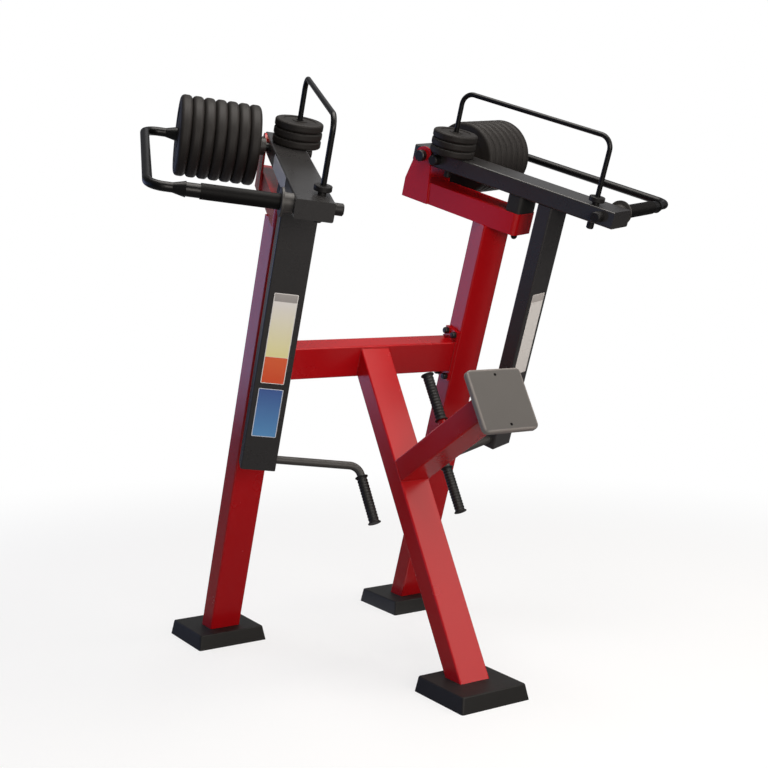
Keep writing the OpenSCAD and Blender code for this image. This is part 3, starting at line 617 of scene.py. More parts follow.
@dataclass(frozen=True)
class WeldSeam:
    """A fillet weld laid by hand: overlapping scales along the joint, under the paint."""

    leg_mm: float = 4.0
    scale_mm: float = 6.0
    sides: int = 8
    # Stops to each scale, and the share of the weld's size to which the first of them is drawn in
    stops_per_scale: int = 3
    waist: float = 0.82
    # Share of the weld's size at both ends of an open seam
    tip: float = 0.2
    fewest_stops: int = 6

    def along(self, path: Sequence[Vector], closed: bool) -> Shell:
        """Lays the weld along a path.

        Args:
            path: points of the frame in metres.
            closed: whether the path comes back to its start.

        Returns:
            The weld's shell.
        """
        stops = self.even_stops(path, closed)
        points = []
        count = len(stops)
        for i, here in enumerate(stops):
            before = stops[(i - 1) % count] if closed or i > 0 else here
            after = stops[(i + 1) % count] if closed or i < count - 1 else here
            along = (after - before).normalized()
            side = along.orthogonal().normalized()
            other = along.cross(side)
            swell = 1.0 if i % self.stops_per_scale else self.waist
            if not closed and i in (0, count - 1):
                swell = self.tip
            for k in range(self.sides):
                turn = 2 * math.pi * k / self.sides
                outward = side * math.cos(turn) + other * math.sin(turn)
                points.append(here + outward * self.leg_mm * swell * MM)
        faces = []
        last = count if closed else count - 1
        for i in range(last):
            j = (i + 1) % count
            shift = self.twist(points, i, j)
            for k in range(self.sides):
                m = (k + 1) % self.sides
                faces.append((i * self.sides + k, i * self.sides + m,
                              j * self.sides + (m + shift) % self.sides,
                              j * self.sides + (k + shift) % self.sides))
        if not closed:
            faces.append(tuple(range(self.sides)))
            faces.append(tuple((count - 1) * self.sides + k for k in range(self.sides)))
        return Shell(points, faces)

    def twist(self, points: Sequence[Vector], i: int, j: int) -> int:
        """Finds which point of ring j lies nearest the first point of ring i.

        Args:
            points: all the weld's points, ring after ring.
            i: the number of the one ring.
            j: the number of the other.

        Returns:
            The point's number in its ring.
        """
        first = points[i * self.sides]
        return min(range(self.sides), key=lambda k: (points[j * self.sides + k] - first).length)

    def even_stops(self, path: Sequence[Vector], closed: bool) -> list[Vector]:
        """Divides the path into even stops, a few to each scale of the weld.

        Args:
            path: points of the frame in metres.
            closed: whether the path comes back to its start.

        Returns:
            The stops.
        """
        corners = list(path) + ([path[0]] if closed else [])
        lengths = [(b - a).length for a, b in zip(corners, corners[1:])]
        total = sum(lengths)
        number = max(self.fewest_stops, round(total / (self.scale_mm * MM / self.stops_per_scale)))
        stops = []
        leg, walked = 0, 0.0
        for i in range(number if closed else number + 1):
            goal = total * i / number
            while leg < len(lengths) - 1 and walked + lengths[leg] < goal:
                walked += lengths[leg]
                leg += 1
            share = (goal - walked) / lengths[leg] if lengths[leg] > 0 else 0.0
            stops.append(corners[leg].lerp(corners[leg + 1], min(1.0, share)))
        return stops


def onto_plane(start: Vector, direction: Vector, place: Vector, normal: Vector) -> Vector:
    """Carries a point along a direction until it meets a plane.

    Args:
        start: the point.
        direction: where it goes.
        place: a point of the plane.
        normal: the plane's normal.

    Returns:
        The meeting point.
    """
    return start + direction * ((place - start).dot(normal) / direction.dot(normal))


@dataclass(frozen=True)
class RibbedGrip:
    """A rubber hand grip: flared flanges, round ribs between them and a closed domed end."""

    inner_r: float = 14.2
    wall: float = 3.0
    rib: float = 1.3
    ribs: int = 14
    flange_r: float = 23.0
    flange_w: float = 5.0
    end_margin: float = 12.0
    flats: int = 72
    # The largest angle in degrees that still shades as round
    smooth: float = 50.0
    # Each rib's round back, as shares of its pitch and of its height
    wave: tuple[tuple[float, float], ...] = (
        (0.14, 0.0), (0.24, 0.5), (0.34, 0.9), (0.50, 1.0), (0.66, 0.9), (0.76, 0.5), (0.86, 0.0))

    def profile(self, length: float) -> list[tuple[float, float]]:
        """Draws the grip's outside from its open end to its closed end.

        Args:
            length: the grip's length in millimetres.

        Returns:
            Radius and height of each point.
        """
        body = self.inner_r + self.wall
        lip = self.flange_r
        # From the bore over the flange's rounded lip and down its hollow back to the grip's body
        start = [(self.inner_r, 0.3), (lip - 2.0, 0.0), (lip - 0.5, 0.6), (lip, 2.0), (lip - 0.5, 3.6),
                 (lip - 2.6, self.flange_w), (body + 1.2, self.flange_w + 2.2), (body, 9.5)]
        run = length - 2 * self.end_margin
        pitch = run / self.ribs
        waves = []
        for i in range(self.ribs):
            for share, rise in self.wave:
                waves.append((body + rise * self.rib, self.end_margin + (i + share) * pitch))
        finish = [(radius, length - height) for radius, height in reversed(start[2:])]
        return start + waves + finish + [(lip - 2.0, length - 0.2), (lip * 0.5, length), (ON_AXIS, length)]

    def build(self, name: str, node: str, axes: Axes, body: str) -> bpy.types.Object:
        """Makes a grip in the place of its CAD node.

        Args:
            name: the piece's name.
            node: the CAD node that it stands for.
            axes: axes whose z runs along the grip, away from its open end.
            body: the body that it moves with.

        Returns:
            The grip.
        """
        low, high = axes.span(node)
        middle = (low + high) / 2
        here = axes.moved(middle.x, middle.y, low.z)
        shell = lathe(here, self.profile(high.z - low.z), self.flats)
        piece = shell.piece(name, GRIP_RUBBER, body, self.smooth)
        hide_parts(node)
        return piece


@dataclass(frozen=True)
class ChestPad:
    """The chest pad: integral-skin foam on a steel plate, softly crowned, with two recessed screws and a
    paler rim that is partly a painted highlight.
    """

    corner: float = 20.0
    edge: float = 7.0
    crown: float = 1.2
    hole_d: float = 10.0
    hole_depth: float = 7.0
    screw_span: float = 172.0
    # How far the pad stands off its plate, and how far the drill for a hole stands out of the face
    back_gap: float = 0.05
    drill_over: float = 2.0
    drill_flats: int = 32
    # Rings that close the back, climb the straight side and cross the crowned face, as shares
    back_shares: tuple[float, ...] = (0.02, 0.5, 1.0)
    side_shares: tuple[float, ...] = (0.15, 0.3, 0.45, 0.6)
    face_shares: tuple[float, ...] = (0.93, 0.85, 0.72, 0.55, 0.35, 0.15, 0.02)
    # Rings round the edge and points round each corner, less one
    edge_steps: int = 8
    corner_steps: int = 8
    # The largest angle in degrees that still shades as round
    smooth: float = 40.0

    def shell(self, axes: Axes) -> Shell:
        """Builds the pad as rings from the middle of its back to the middle of its face.

        Args:
            axes: x across, y up the pad, z out of its face.

        Returns:
            The closed shell.
        """
        low, high = axes.span("chest_pad")
        width, height, thick = high.x - low.x, high.y - low.y, high.z - low.z
        middle = (low + high) / 2
        sizes = [(width * share, height * share, self.corner * share, low.z + self.back_gap)
                 for share in self.back_shares]
        sizes += [(width, height, self.corner, low.z + thick * share) for share in self.side_shares]
        for step in range(self.edge_steps + 1):
            angle = step / self.edge_steps * math.pi / 2
            inset = self.edge * (1 - math.cos(angle))
            sizes.append((width - 2 * inset, height - 2 * inset, self.corner - inset,
                          high.z - self.crown - self.edge * (1 - math.sin(angle))))
        for share in self.face_shares:
            sizes.append(((width - 2 * self.edge) * share, (height - 2 * self.edge) * share,
                          (self.corner - self.edge) * share, high.z - self.crown * (share ** 2)))
        points, faces = [], []
        for w, h, r, z in sizes:
            outline = rounded_outline(w, h, r, self.corner_steps)
            points += [axes.at(middle.x + x, middle.y + y, z) for x, y in outline]
        number = len(points) // len(sizes)
        for row in range(len(sizes) - 1):
            for i in range(number):
                j = (i + 1) % number
                faces.append((row * number + i, row * number + j,
                              (row + 1) * number + j, (row + 1) * number + i))
        faces.append(tuple(range(number)))
        faces.append(tuple((len(sizes) - 1) * number + i for i in range(number)))
        return Shell(points, faces)

    def build(self, axes: Axes) -> bpy.types.Object:
        """Makes the pad and sinks its screw holes.

        Args:
            axes: x across, y up the pad, z out of its face.

        Returns:
            The pad.
        """
        low, high = axes.span("chest_pad")
        middle = (low + high) / 2
        centre = axes.moved(middle.x, middle.y, middle.z)
        # The skin's paler rim, partly wear and partly a painted highlight, is measured from the pad's
        # middle and sides
        skin = replace(PAD_SKIN, name="pad_skin_wear_and_painted_highlight", middle=tuple(centre.origin), across=tuple(axes.x),
                       upward=tuple(axes.y), half=((high.x - low.x) / 2, (high.y - low.y) / 2))
        pad = self.shell(axes).piece("crowned_chest_pad", skin, "frame", self.smooth)
        for sign in (-1, 1):
            hole = axes.moved(middle.x, middle.y + sign * self.screw_span / 2, high.z)
            radius, bottom, top = self.hole_d / 2, -self.hole_depth, self.drill_over
            profile = [(ON_AXIS, bottom), (radius, bottom), (radius, top), (ON_AXIS, top)]
            cutter = lathe(hole, profile, self.drill_flats).piece("pad_drill", skin, "frame")
            modifier = pad.modifiers.new("screw_hole", "BOOLEAN")
            modifier.object = cutter
            modifier.solver = "EXACT"
            self.apply_modifiers(pad)
            bpy.data.objects.remove(cutter)
        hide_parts("chest_pad")
        return pad

    def apply_modifiers(self, piece: bpy.types.Object) -> None:
        """Turns a piece's modifiers into its mesh.

        Args:
            piece: the piece, whose modifiers are gone afterwards.
        """
        bpy.context.view_layer.update()
        graph = bpy.context.evaluated_depsgraph_get()
        mesh = bpy.data.meshes.new_from_object(piece.evaluated_get(graph))
        piece.modifiers.clear()
        piece.data = mesh
        mesh.polygons.foreach_set("use_smooth", [True] * len(mesh.polygons))
        mesh.set_sharp_from_angle(angle=math.radians(self.smooth))


@dataclass(frozen=True)
class Panel:
    """A printed field of a plate, by its sides and its ends on the face that carries it."""

    out: tuple[float, float]
    up: tuple[float, float]
    # The ink at the lower end and at the upper end
    colour: str
    faded: str


@dataclass(frozen=True)
class BlankPlate:
    """A plain printed vinyl plate with no words or signs on it, only fields of colour; it also carries the
    painted reflection on the beam's side.
    """

    name: str
    border: str
    panels: tuple[Panel, ...]
    corner: float = 4.0
    film_mm: float = 0.25
    # Share of the face that the clear film covers
    film: float = 0.3
    # Width of the border round the fields, and how much of its thickness they stand above it
    border_mm: float = 2.5
    field_rise: float = 0.8
    field_corner: float = 1.5
    # Points round each corner, less one
    corner_steps: int = 5

    def build(self, axes: Axes, face: float, body: str) -> None:
        """Lays the plate's border and then its fields on a face.

        Args:
            axes: x across the plate, y out of the face and z up the plate.
            face: how far along y the face lies.
            body: the body that it moves with.
        """
        edge = self.border_mm
        out = (min(p.out[0] for p in self.panels) - edge, max(p.out[1] for p in self.panels) + edge)
        up = (min(p.up[0] for p in self.panels) - edge, max(p.up[1] for p in self.panels) + edge)
        sheets = [Panel(out, up, self.border, self.border)] + list(self.panels)
        for number, panel in enumerate(sheets):
            rise = self.field_rise if number else 0.0
            top = face + self.film_mm * (1 + rise)
            finish = replace(PLATE_VINYL, name=f"{self.name}_ink_{number}", colour=panel.colour,
                             faded=panel.faded, film=self.film, start=tuple(axes.at(0, top, panel.up[0])),
                             end=tuple(axes.at(0, top, panel.up[1])))
            radius = self.field_corner if number else self.corner
            sheet = self.sheet(axes, panel, face, top, radius)
            sheet.piece(f"{self.name}_field_{number}", finish, body)

    def sheet(self, axes: Axes, panel: Panel, low: float, top: float, radius: float) -> Shell:
        """Builds one thin rounded sheet.

        Args:
            axes: x across the plate, y out of the face and z up the plate.
            panel: its place.
            low: its back, along y.
            top: its front, along y.
            radius: its corner radius.

        Returns:
            The closed shell.
        """
        width, height = panel.out[1] - panel.out[0], panel.up[1] - panel.up[0]
        x, z = sum(panel.out) / 2, sum(panel.up) / 2
        outline = rounded_outline(width, height, radius, self.corner_steps)
        points = [axes.at(x + a, y, z + b) for y in (low, top) for a, b in outline]
        number = len(outline)
        faces = [(i, (i + 1) % number, number + (i + 1) % number, number + i) for i in range(number)]
        faces.append(tuple(range(number)))
        faces.append(tuple(range(number, 2 * number)))
        return Shell(points, faces)


def dress(node: str, finish: Finish) -> None:
    """Gives a CAD node its finish.

    Args:
        node: the node's name.
        finish: what its surface is.
    """
    piece = frame["nodes"][node]
    for place in piece.material_slots:
        place.material = finish.material()
    LOG.info("%s: %s", node, finish.name)


@dataclass(frozen=True)
class MainFrame:
    """The red welded frame: posts, crossbar, front leg, pad strut, brackets and feet."""

    post_lean: float = 20.0
    leg_tilt: float = 30.0
    tube_corner: float = 6.0
    # Points round each corner of a tube's outline, less one
    corner_steps: int = 4
    # The height of the crossbar's tube and the thickness of the plates that close it
    crossbar_h: float = 120.0
    end_plate_t: float = 14.0
    handle_d: float = 28.0
    # How far the post's weld keeps inside the bracket's sides, and the fewest stops that make a run
    cover: float = 2.0
    shortest_run: int = 4
    seam: WeldSeam = WeldSeam(2.2)
    handle_seam: WeldSeam = WeldSeam(2.4, 5.0)

    def post_axes(self, side: Side) -> Axes:
        """Works out a post's axes from its lean and its place.

        Args:
            side: the side of the machine.

        Returns:
            Axes whose origin lies on the post's axis, at its top.
        """
        lean = math.radians(self.post_lean)
        axes = frame_axes(Vector((0, -math.sin(lean), math.cos(lean))), Vector((0, 0, 0)))
        low, high = axes.span(f"{side.value}_post")
        middle = (low + high) / 2
        return axes.moved(middle.x, middle.y, high.z)

    def leg_axes(self) -> Axes:
        """Works out the front leg's axes from its tilt and its place.

        Returns:
            Axes whose origin lies on the leg's axis, at its foot.
        """
        tilt = math.radians(self.leg_tilt)
        axes = frame_axes(Vector((0, math.sin(tilt), math.cos(tilt))), Vector((0, 0, 0)))
        low, high = axes.span("front_leg")
        middle = (low + high) / 2
        return axes.moved(middle.x, middle.y, low.z)

    def strut_axes(self) -> Axes:
        """Works out the pad strut's axes from the leg's tilt and its place.

        Returns:
            Axes with x across the machine, y up the pad and z toward the pad.
        """
        tilt = math.radians(self.leg_tilt)
        toward = Vector((0, -math.cos(tilt), math.sin(tilt)))
        axes = Axes(Vector((0, 0, 0)), Vector((1, 0, 0)), toward.cross(Vector((1, 0, 0))), toward)
        low, high = axes.span("pad_strut")
        middle = (low + high) / 2
        return axes.moved(middle.x, middle.y, low.z)

    def tube_ring(self, axes: Axes, node: str, place: Vector, normal: Vector) -> list[Vector]:
        """Carries a tube's outline along the tube onto a plane.

        Args:
            axes: the tube's axes.
            node: the tube's node, which gives the outline's size.
            place: a point of the plane.
            normal: the plane's normal.

        Returns:
            The outline's points on the plane.
        """
        low, high = axes.span(node)
        outline = rounded_outline(high.x - low.x, high.y - low.y, self.tube_corner, self.corner_steps)
        return [onto_plane(axes.at(x, y, 0), axes.z, place, normal) for x, y in outline]

    def under_bracket(self, side: Side, ring: Sequence[Vector]) -> list[list[Vector]]:
        """Finds the stretches of a post's top edge that the turned bracket covers.

        Args:
            side: the side of the machine.
            ring: the post's top edge.

        Returns:
            The covered stretches, each a path of its own.
        """
        axes = arm_axes(side)
        low, high = axes.span(f"{side.value}_bracket")
        stops = self.seam.even_stops(ring, True)
        covered = []
        for stop in stops:
            here = axes.local(stop)
            inside = [edge + self.cover < at < end - self.cover
                      for edge, at, end in zip(low.xy, here.xy, high.xy)]
            covered.append(all(inside))
        if all(covered):
            return [stops + stops[:1]]
        first = next(i for i in range(len(stops)) if covered[i] and not covered[i - 1])
        runs = []
        for i in range(first, first + len(stops)):
            if not covered[i % len(stops)]:
                continue
            if not covered[(i - 1) % len(stops)]:
                runs.append([])
            runs[-1].append(stops[i % len(stops)])
        return [run for run in runs if len(run) >= self.shortest_run]

    def weld(self) -> None:
        """Welds the tubes where they meet."""
        for side in Side:
            post = self.post_axes(side)
            ring = self.tube_ring(post, f"{side.value}_post", post.origin, post.z)
            for number, run in enumerate(self.under_bracket(side, ring)):
                self.seam.along(run, False).piece(f"{side.value}_post_weld_{number}", WELD_RED, "frame")
        post = self.post_axes(Side.LEFT)
        crossbar_front = post.at(0, post.span("crossbar")[0].y, 0)
        ring = self.tube_ring(self.leg_axes(), "front_leg", crossbar_front, post.y)
        self.seam.along(ring, True).piece("leg_top_weld", WELD_RED, "frame")
        strut = self.strut_axes()
        for name, height in (("strut_weld", 0.0), ("pad_plate_weld", strut.span("pad_strut")[1].z)):
            ring = self.tube_ring(strut, "pad_strut", strut.at(0, 0, height), strut.z)
            self.seam.along(ring, True).piece(name, WELD_RED, "frame")
        self.weld_crossbar(post)

    def weld_crossbar(self, post: Axes) -> None:
        """Welds the crossbar's tube to its two end plates.

        Args:
            post: the axes of a post, along which the crossbar's section lies.
        """
        low, high = post.span("crossbar")
        flat = Axes(post.at(0, (low.y + high.y) / 2, (low.z + high.z) / 2), post.y, post.z, post.x)
        # Its negative width turns the outline's corners outward, so the beads run on past the tube's edges
        outline = rounded_outline(low.y - high.y, self.crossbar_h, self.tube_corner, self.corner_steps)
        for name, x in (("left", low.x + self.end_plate_t), ("right", high.x - self.end_plate_t)):
            ring = [flat.at(a, b, x) for a, b in outline]
            self.seam.along(ring, True).piece(f"{name}_crossbar_weld", WELD_RED, "frame")

    def build(self) -> None:
        """Dresses the frame's nodes, welds it and adds the pad and the fixed grip."""
        for finish, nodes in NODE_FINISHES.items():
            for node in nodes:
                dress(node, finish)
        self.weld()
        strut = self.strut_axes()
        ChestPad().build(strut)
        upward = Axes(strut.origin, strut.x, -strut.z, strut.y)
        RibbedGrip().build("fixed_ribbed_grip", "fixed_handle_grip", upward, "frame")
        low, high = upward.span("fixed_handle")
        strut_top = upward.span("pad_strut")[1].z
        foot = upward.moved((low.x + high.x) / 2, (low.y + high.y) / 2, strut_top)
        seam = self.handle_seam.along(bar_ring(foot, self.handle_d), True)
        seam.piece("fixed_handle_weld", WELD_RED, "frame")


# On the drop arms, places are in millimetres, outward from the pivot's middle and up from plate_zero
LEFT_PLATES = (
    BlankPlate("left_upper_plate", "#F2F0EC", (
        Panel((-37, 37), (288, 314), "#A7A3A0", "#B4B0AD"),
        Panel((-37, 37), (95, 287), "#FAF3AE", "#F8F5F1"),
        Panel((-37, 37), (2, 94), "#E6552A", "#EE6A3C"),
    )),
    BlankPlate("left_lower_plate", "#DDE4F0", (
        Panel((-39, 39), (-194, -22), "#5F9CD4", "#4464A6"),
    )),
)
# The same on both arms, on the outer side of the beam: a long pale sheet in the room's tint, which is a
# painted reflection of the pale room in the beam's glossy side. Its places are counted
# ahead of the pivot's middle and up from it
BEAM_SIDE_REFLECTION = BlankPlate("beam_side_painted_reflection", "#F4F6FF", (
    Panel((264, 570), (-23, 23), "#FAFBFF", "#FFFFFF"),
), corner=3.0, film=1.0)
RIGHT_PLATES = (
    BlankPlate("right_plate", "#E6E2DE", (
        Panel((-39, 39), (274, 302), "#BFBAB6", "#C9C4C0"),
        Panel((-39, 39), (83, 273), "#EFECE8", "#F2EFEB"),
        Panel((-39, 39), (-13, 80), "#E8E4E0", "#EFECE8"),
    )),
)


@dataclass(frozen=True)
class LeverArm:
    """One lever arm: beam, drop arm, handle and grip, with its loops and discs."""

    side: Side
    plates: tuple[BlankPlate, ...]
    # Height on the drop arm that the plates' places are counted from, below the beam's bottom
    plate_zero: float = 632.8
    # How far in from the drop arm's sides its welds begin
    weld_inset: float = 6.0
    # The handle's bar, and the height of its middle over the drop arm's foot
    handle_d: float = 28.0
    handle_rise: float = 26.0
    # Height over the bracket's bottom at which the ears' front edge is measured, clear of its corner
    ear_foot: float = 1.0
    # How far the ears' welds keep from the bracket's bottom and from its top
    ear_weld_clear: tuple[float, float] = (2.0, 3.0)
    seam: WeldSeam = WeldSeam(2.2, 6.0)
    handle_seam: WeldSeam = WeldSeam(2.5, 5.0)

    def node(self, name: str) -> str:
        """Gives the name of one of this arm's nodes."""
        return f"{self.side.value}_{name}"

    def build(self) -> None:
        """Dresses the arm, and adds its welds, grip and plates, and the painted reflection on the beam's
        side.
        """
        for finish, nodes in ARM_FINISHES.items():
            for name in nodes:
                dress(self.node(name), finish)
        axes = arm_axes(self.side)
        body = self.node("arm")
        self.weld_drop(axes, body)
        self.weld_handle(axes, body)
        self.weld_bracket(axes)
        self.add_grip(body)
        low, high = axes.span(self.node("drop_arm"))
        zero = axes.moved(0, 0, high.z - self.plate_zero)
        for plate in self.plates:
            plate.build(zero, high.y, body)
        low, high = axes.span(self.node("beam"))
        outward = Axes(axes.origin, axes.y, axes.x, axes.z)
        # A pale sheet on the beam's outer side: a painted reflection of the room, not a printed plate
        replace(BEAM_SIDE_REFLECTION, name=self.node("beam_side_painted_reflection")).build(outward, high.x, body)

    def weld_drop(self, axes: Axes, body: str) -> None:
        """Welds the drop arm under the beam, along its front and its back.

        Args:
            axes: the arm's axes.
            body: the body that it moves with.
        """
        low, high = axes.span(self.node("drop_arm"))
        for name, ahead in (("front", high.y), ("back", low.y)):
            path = [axes.at(x, ahead, high.z) for x in (low.x + self.weld_inset, high.x - self.weld_inset)]
            self.seam.along(path, False).piece(self.node(f"drop_{name}_weld"), WELD_BLACK, body)

    def weld_handle(self, axes: Axes, body: str) -> None:
        """Welds the handle into the drop arm's inner side.

        Args:
            axes: the arm's axes.
            body: the body that it moves with.
        """
        low, high = axes.span(self.node("drop_arm"))
        place = axes.at(low.x, (low.y + high.y) / 2, low.z + self.handle_rise)
        across = Axes(place, axes.y, axes.z, axes.x)
        seam = self.handle_seam.along(bar_ring(across, self.handle_d), True)
        seam.piece(self.node("handle_weld"), WELD_BLACK, body)

    def weld_bracket(self, axes: Axes) -> None:
        """Welds the pivot ears to the sides of the bracket, which belongs to the frame.

        Args:
            axes: the arm's axes.
        """
        low, high = axes.span(self.node("bracket"))
        foot, top = low.z + self.ear_foot, high.z - self.ear_weld_clear[1]
        start = self.ear_front(axes, foot)
        slope = (self.ear_front(axes, high.z) - start) / (high.z - foot)
        end = start + slope * (top - foot)
        for name, x in (("inner", low.x), ("outer", high.x)):
            path = [axes.at(x, start, low.z + self.ear_weld_clear[0]), axes.at(x, end, top)]
            self.seam.along(path, False).piece(self.node(f"{name}_ear_weld"), WELD_RED, "frame")

    def ear_front(self, axes: Axes, height: float) -> float:
        """Finds how far ahead the pivot ears reach at a height.

        Args:
            axes: the arm's axes.
            height: the local height in millimetres.

        Returns:
            The local y of the ears' front edge there.
        """
        mesh = frame["nodes"][self.node("pivot_ears")].data
        best = -math.inf
        for edge in mesh.edges:
            a, b = (axes.local(mesh.vertices[i].co) for i in edge.vertices)
            if min(a.z, b.z) <= height <= max(a.z, b.z) and abs(a.z - b.z) > LEVEL:
                best = max(best, a.y + (b.y - a.y) * (height - a.z) / (b.z - a.z))
        return best

    def add_grip(self, body: str) -> None:
        """Adds the hand grip along the handle's lower run.

        Args:
            body: the body that it moves with.
        """
        mesh = frame["nodes"][self.node("grip")].data
        middle = sum((v.co for v in mesh.vertices), Vector()) / len(mesh.vertices)
        along = self.long_axis([v.co - middle for v in mesh.vertices])
        if along.z > 0:
            along = -along
        side = along.orthogonal().normalized()
        grip = Axes(middle, side, along.cross(side), along)
        RibbedGrip().build(self.node("ribbed_grip"), self.node("grip"), grip, body)

    def long_axis(self, spread: Sequence[Vector], turns: int = 60) -> Vector:
        """Finds the direction in which points spread most, by turning a guess until it settles.

        Args:
            spread: the points, counted from their middle.
            turns: how often the guess is turned.

        Returns:
            The unit direction.
        """
        guess = max(spread, key=lambda p: p.length).normalized()
        for _ in range(turns):
            guess = sum((p * p.dot(guess) for p in spread), Vector()).normalized()
        return guess


@dataclass(frozen=True)
class Lamp:
    """A soft box of the studio."""

    name: str
    place: tuple[float, float, float]
    aim: tuple[float, float, float]
    size: tuple[float, float]
    # How bright its face is, where 1 is the white of the background
    radiance: float
    colour: str

    def build(self) -> None:
        """Hangs the lamp and points it."""
        light = bpy.data.lights.new(self.name, "AREA")
        light.shape = "RECTANGLE"
        light.size, light.size_y = self.size
        light.energy = self.radiance * math.pi * self.size[0] * self.size[1]
        light.color = linear(self.colour)[:3]
        lamp = bpy.data.objects.new(self.name, light)
        lamp.location = self.place
        direction = Vector(self.aim) - Vector(self.place)
        lamp.rotation_euler = direction.to_track_quat("-Z", "Y").to_euler()
        lamp.visible_camera = False
        bpy.context.scene.collection.objects.link(lamp)


@dataclass(frozen=True)
class Studio:
    """The pale floor, the soft light and the camera of the photograph."""

    lamps: tuple[Lamp, ...] = (
        Lamp("key_box", (2.5, -2.6, 3.3), (0.0, -0.4, 0.9), (3.8, 3.4), 1.7, "#FFF8F0"),
        Lamp("overhead_box", (0.0, -0.6, 5.2), (0.0, 0.0, 1.0), (3.4, 3.4), 5.2, "#FFFAF4"),
        Lamp("front_box", (-1.25, -5.2, 1.6), (0.0, 0.0, 1.1), (3.0, 2.4), 6.0, "#FFF8F0"),
        Lamp("left_box", (-3.3, 4.8, 1.6), (0.0, 0.0, 1.4), (3.2, 2.6), 1.55, "#B8C6FF"),
        Lamp("back_box", (2.6, 3.5, 3.9), (0.0, 0.0, 1.2), (3.6, 3.0), 0.2, "#FFFFFF"),
        Lamp("side_box", (-5.0, 1.6, 1.3), (0.0, 0.0, 1.2), (3.2, 2.5), 0.66, "#8FB4FF"),
    )
    ambient: float = 0.13
    # Heading of the backdrop from the middle of the floor, in degrees from +Y toward +X
    backdrop_yaw: float = 32.6
    # Cosines of the angle from that heading, between which the backdrop comes into view
    backdrop_edge: tuple[float, float] = (0.93, 0.99)
    # Sines of the height above the horizon, between which it gives way to the dim ceiling
    ceiling_edge: tuple[float, float] = (0.3, 0.6)
    room_tint: str = "#F4F6FF"
    # The floor as it lights the machine from below, and as the camera sees it
    floor_bounce: str = "#848486"
    floor_white: str = "#FBFBFA"
    floor_radius: float = 40.0
    # Distances in metres from the middle, between which the floor fades to pure white
    near: float = 1.7
    far: float = 4.2
    # Share of the floor's own white near the machine, over which its shadow falls
    near_white: float = 0.70
    # The camera's place in the frame, in millimetres, and how it is turned, in degrees
    camera_mm: tuple[float, float, float] = (-2368.4, -3654.0, 1417.3)
    yaw: float = 32.61
    pitch: float = 5.45
    lens_mm: float = 57.08
    sensor_mm: float = 36.0
    sight: float = 200.0

    def camera(self) -> None:
        """Sets up the camera that took the photograph."""
        data = bpy.data.cameras.new("photo_camera")
        data.lens = self.lens_mm
        data.sensor_width = self.sensor_mm
        data.clip_end = self.sight
        camera = bpy.data.objects.new("photo_camera", data)
        camera.location = Vector(self.camera_mm) * MM
        yaw, pitch = math.radians(self.yaw), math.radians(self.pitch)
        ahead = Vector((math.sin(yaw) * math.cos(pitch), math.cos(yaw) * math.cos(pitch), -math.sin(pitch)))
        camera.rotation_euler = ahead.to_track_quat("-Z", "Y").to_euler()
        bpy.context.scene.collection.objects.link(camera)
        bpy.context.scene.camera = camera

    def behind(self, tree: bpy.types.NodeTree) -> bpy.types.NodeSocket:
        """Tells the backdrop's side of the studio from its dim sides.

        Args:
            tree: the node tree that asks.

        Returns:
            An output from 0 on the photographer's side to 1 on the backdrop's side.
        """
        place = add_node(tree, "ShaderNodeTexCoord", {}, {}).outputs["Object"]
        bearing = add_node(tree, "ShaderNodeVectorMath", {"operation": "NORMALIZE"}, {0: place})
        yaw = math.radians(self.backdrop_yaw)
        depth = add_node(tree, "ShaderNodeVectorMath",
                         {"operation": "DOT_PRODUCT", 1: (math.sin(yaw), math.cos(yaw), 0.0)},
                         {0: bearing.outputs["Vector"]})
        side = add_node(tree, "ShaderNodeMapRange",
                        {"interpolation_type": "SMOOTHSTEP", "From Min": self.backdrop_edge[0],
                         "From Max": self.backdrop_edge[1]}, {"Value": depth.outputs["Value"]})
        return side.outputs["Result"]

    def seen_share(self, tree: bpy.types.NodeTree, behind: bpy.types.NodeSocket) -> bpy.types.NodeSocket:
        """Tells the rays that show the background from those that only carry light.

        Args:
            tree: the node tree that asks.
            behind: how far the place belongs to the backdrop, which gloss and glass show too.

        Returns:
            An output that is 1 where a ray shows the white background.
        """
        path = add_node(tree, "ShaderNodeLightPath", {}, {})
        bounced = add_node(tree, "ShaderNodeMath", {"operation": "MAXIMUM"},
                           {0: path.outputs["Is Glossy Ray"], 1: path.outputs["Is Transmission Ray"]})
        mirrored = add_node(tree, "ShaderNodeMath", {"operation": "MULTIPLY"},
                            {0: bounced.outputs["Value"], 1: behind})
        share = add_node(tree, "ShaderNodeMath", {"operation": "MAXIMUM"},
                         {0: path.outputs["Is Camera Ray"], 1: mirrored.outputs["Value"]})
        return share.outputs["Value"]

    def world(self) -> None:
        """Lights the room evenly, and shows it white to the camera and in reflections of the backdrop."""
        world = bpy.data.worlds.new("studio")
        world.use_nodes = True
        tree = world.node_tree
        tree.nodes.clear()
        place = add_node(tree, "ShaderNodeTexCoord", {}, {}).outputs["Object"]
        height = add_node(tree, "ShaderNodeSeparateXYZ", {}, {"Vector": place})
        ceiling = add_node(tree, "ShaderNodeMapRange",
                           {"interpolation_type": "SMOOTHSTEP", "From Min": self.ceiling_edge[0],
                            "From Max": self.ceiling_edge[1], "To Min": 1.0, "To Max": 0.0},
                           {"Value": height.outputs["Z"]})
        wall = add_node(tree, "ShaderNodeMath", {"operation": "MULTIPLY"},
                        {0: self.behind(tree), 1: ceiling.outputs["Result"]})
        seen = self.seen_share(tree, wall.outputs["Value"])
        room = add_node(tree, "ShaderNodeBackground",
                        {"Color": linear(self.room_tint), "Strength": self.ambient}, {})
        white = add_node(tree, "ShaderNodeBackground", {"Color": (1, 1, 1, 1), "Strength": 1.0}, {})
        mix = add_node(tree, "ShaderNodeMixShader", {},
                       {0: seen, 1: room.outputs["Background"], 2: white.outputs["Background"]})
        add_node(tree, "ShaderNodeOutputWorld", {}, {"Surface": mix.outputs["Shader"]})
        bpy.context.scene.world = world

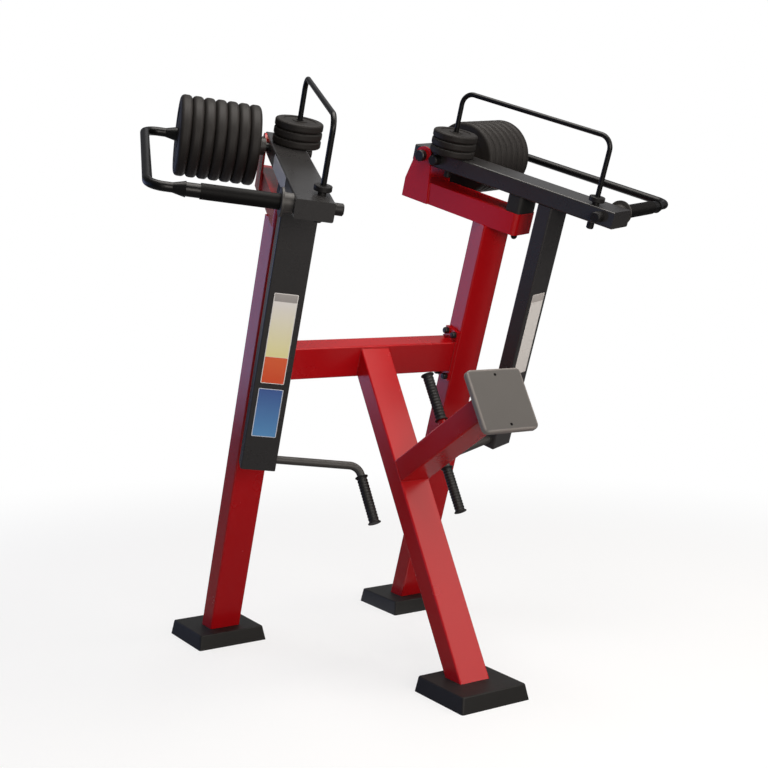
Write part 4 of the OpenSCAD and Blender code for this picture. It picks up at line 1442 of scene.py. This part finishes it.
    def floor(self) -> None:
        """Lays the pale floor, which fades to the white of the room away from the machine."""
        mesh = bpy.data.meshes.new("studio_floor")
        build = bmesh.new()
        bmesh.ops.create_circle(build, cap_ends=True, segments=96, radius=self.floor_radius)
        build.to_mesh(mesh)
        build.free()
        floor = bpy.data.objects.new("studio_floor", mesh)
        bpy.context.scene.collection.objects.link(floor)
        material = bpy.data.materials.new("pale_floor")
        material.use_nodes = True
        tree = material.node_tree
        tree.nodes.clear()
        place = add_node(tree, "ShaderNodeTexCoord", {}, {}).outputs["Object"]
        away = add_node(tree, "ShaderNodeVectorMath", {"operation": "LENGTH"}, {0: place})
        fade = add_node(tree, "ShaderNodeMapRange",
                        {"interpolation_type": "SMOOTHSTEP", "From Min": self.near, "From Max": self.far,
                         "To Min": self.near_white},
                        {"Value": away.outputs["Value"]})
        seen = self.seen_share(tree, self.behind(tree))
        share = add_node(tree, "ShaderNodeMath", {"operation": "MULTIPLY"},
                         {0: fade.outputs["Result"], 1: seen})
        tone = add_node(tree, "ShaderNodeMix",
                        {"data_type": "RGBA", 6: linear(self.floor_bounce), 7: linear(self.floor_white)},
                        {0: seen})
        matt = add_node(tree, "ShaderNodeBsdfDiffuse", {}, {"Color": tone.outputs[2]})
        white = add_node(tree, "ShaderNodeEmission", {"Color": (1, 1, 1, 1), "Strength": 1.0}, {})
        mix = add_node(tree, "ShaderNodeMixShader", {},
                       {0: share.outputs["Value"], 1: matt.outputs["BSDF"], 2: white.outputs["Emission"]})
        add_node(tree, "ShaderNodeOutputMaterial", {}, {"Surface": mix.outputs["Shader"]})
        mesh.materials.append(material)

    def build(self) -> None:
        """Sets up everything round the machine."""
        bpy.context.scene.view_settings.view_transform = "Standard"
        self.camera()
        self.world()
        self.floor()
        for lamp in self.lamps:
            lamp.build()


def main() -> None:
    """Builds the machine's look in order."""
    logging.basicConfig(level=logging.INFO)
    Studio().build()
    MainFrame().build()
    LeverArm(Side.LEFT, LEFT_PLATES).build()
    LeverArm(Side.RIGHT, RIGHT_PLATES).build()


if __name__ == "__main__":
    main()
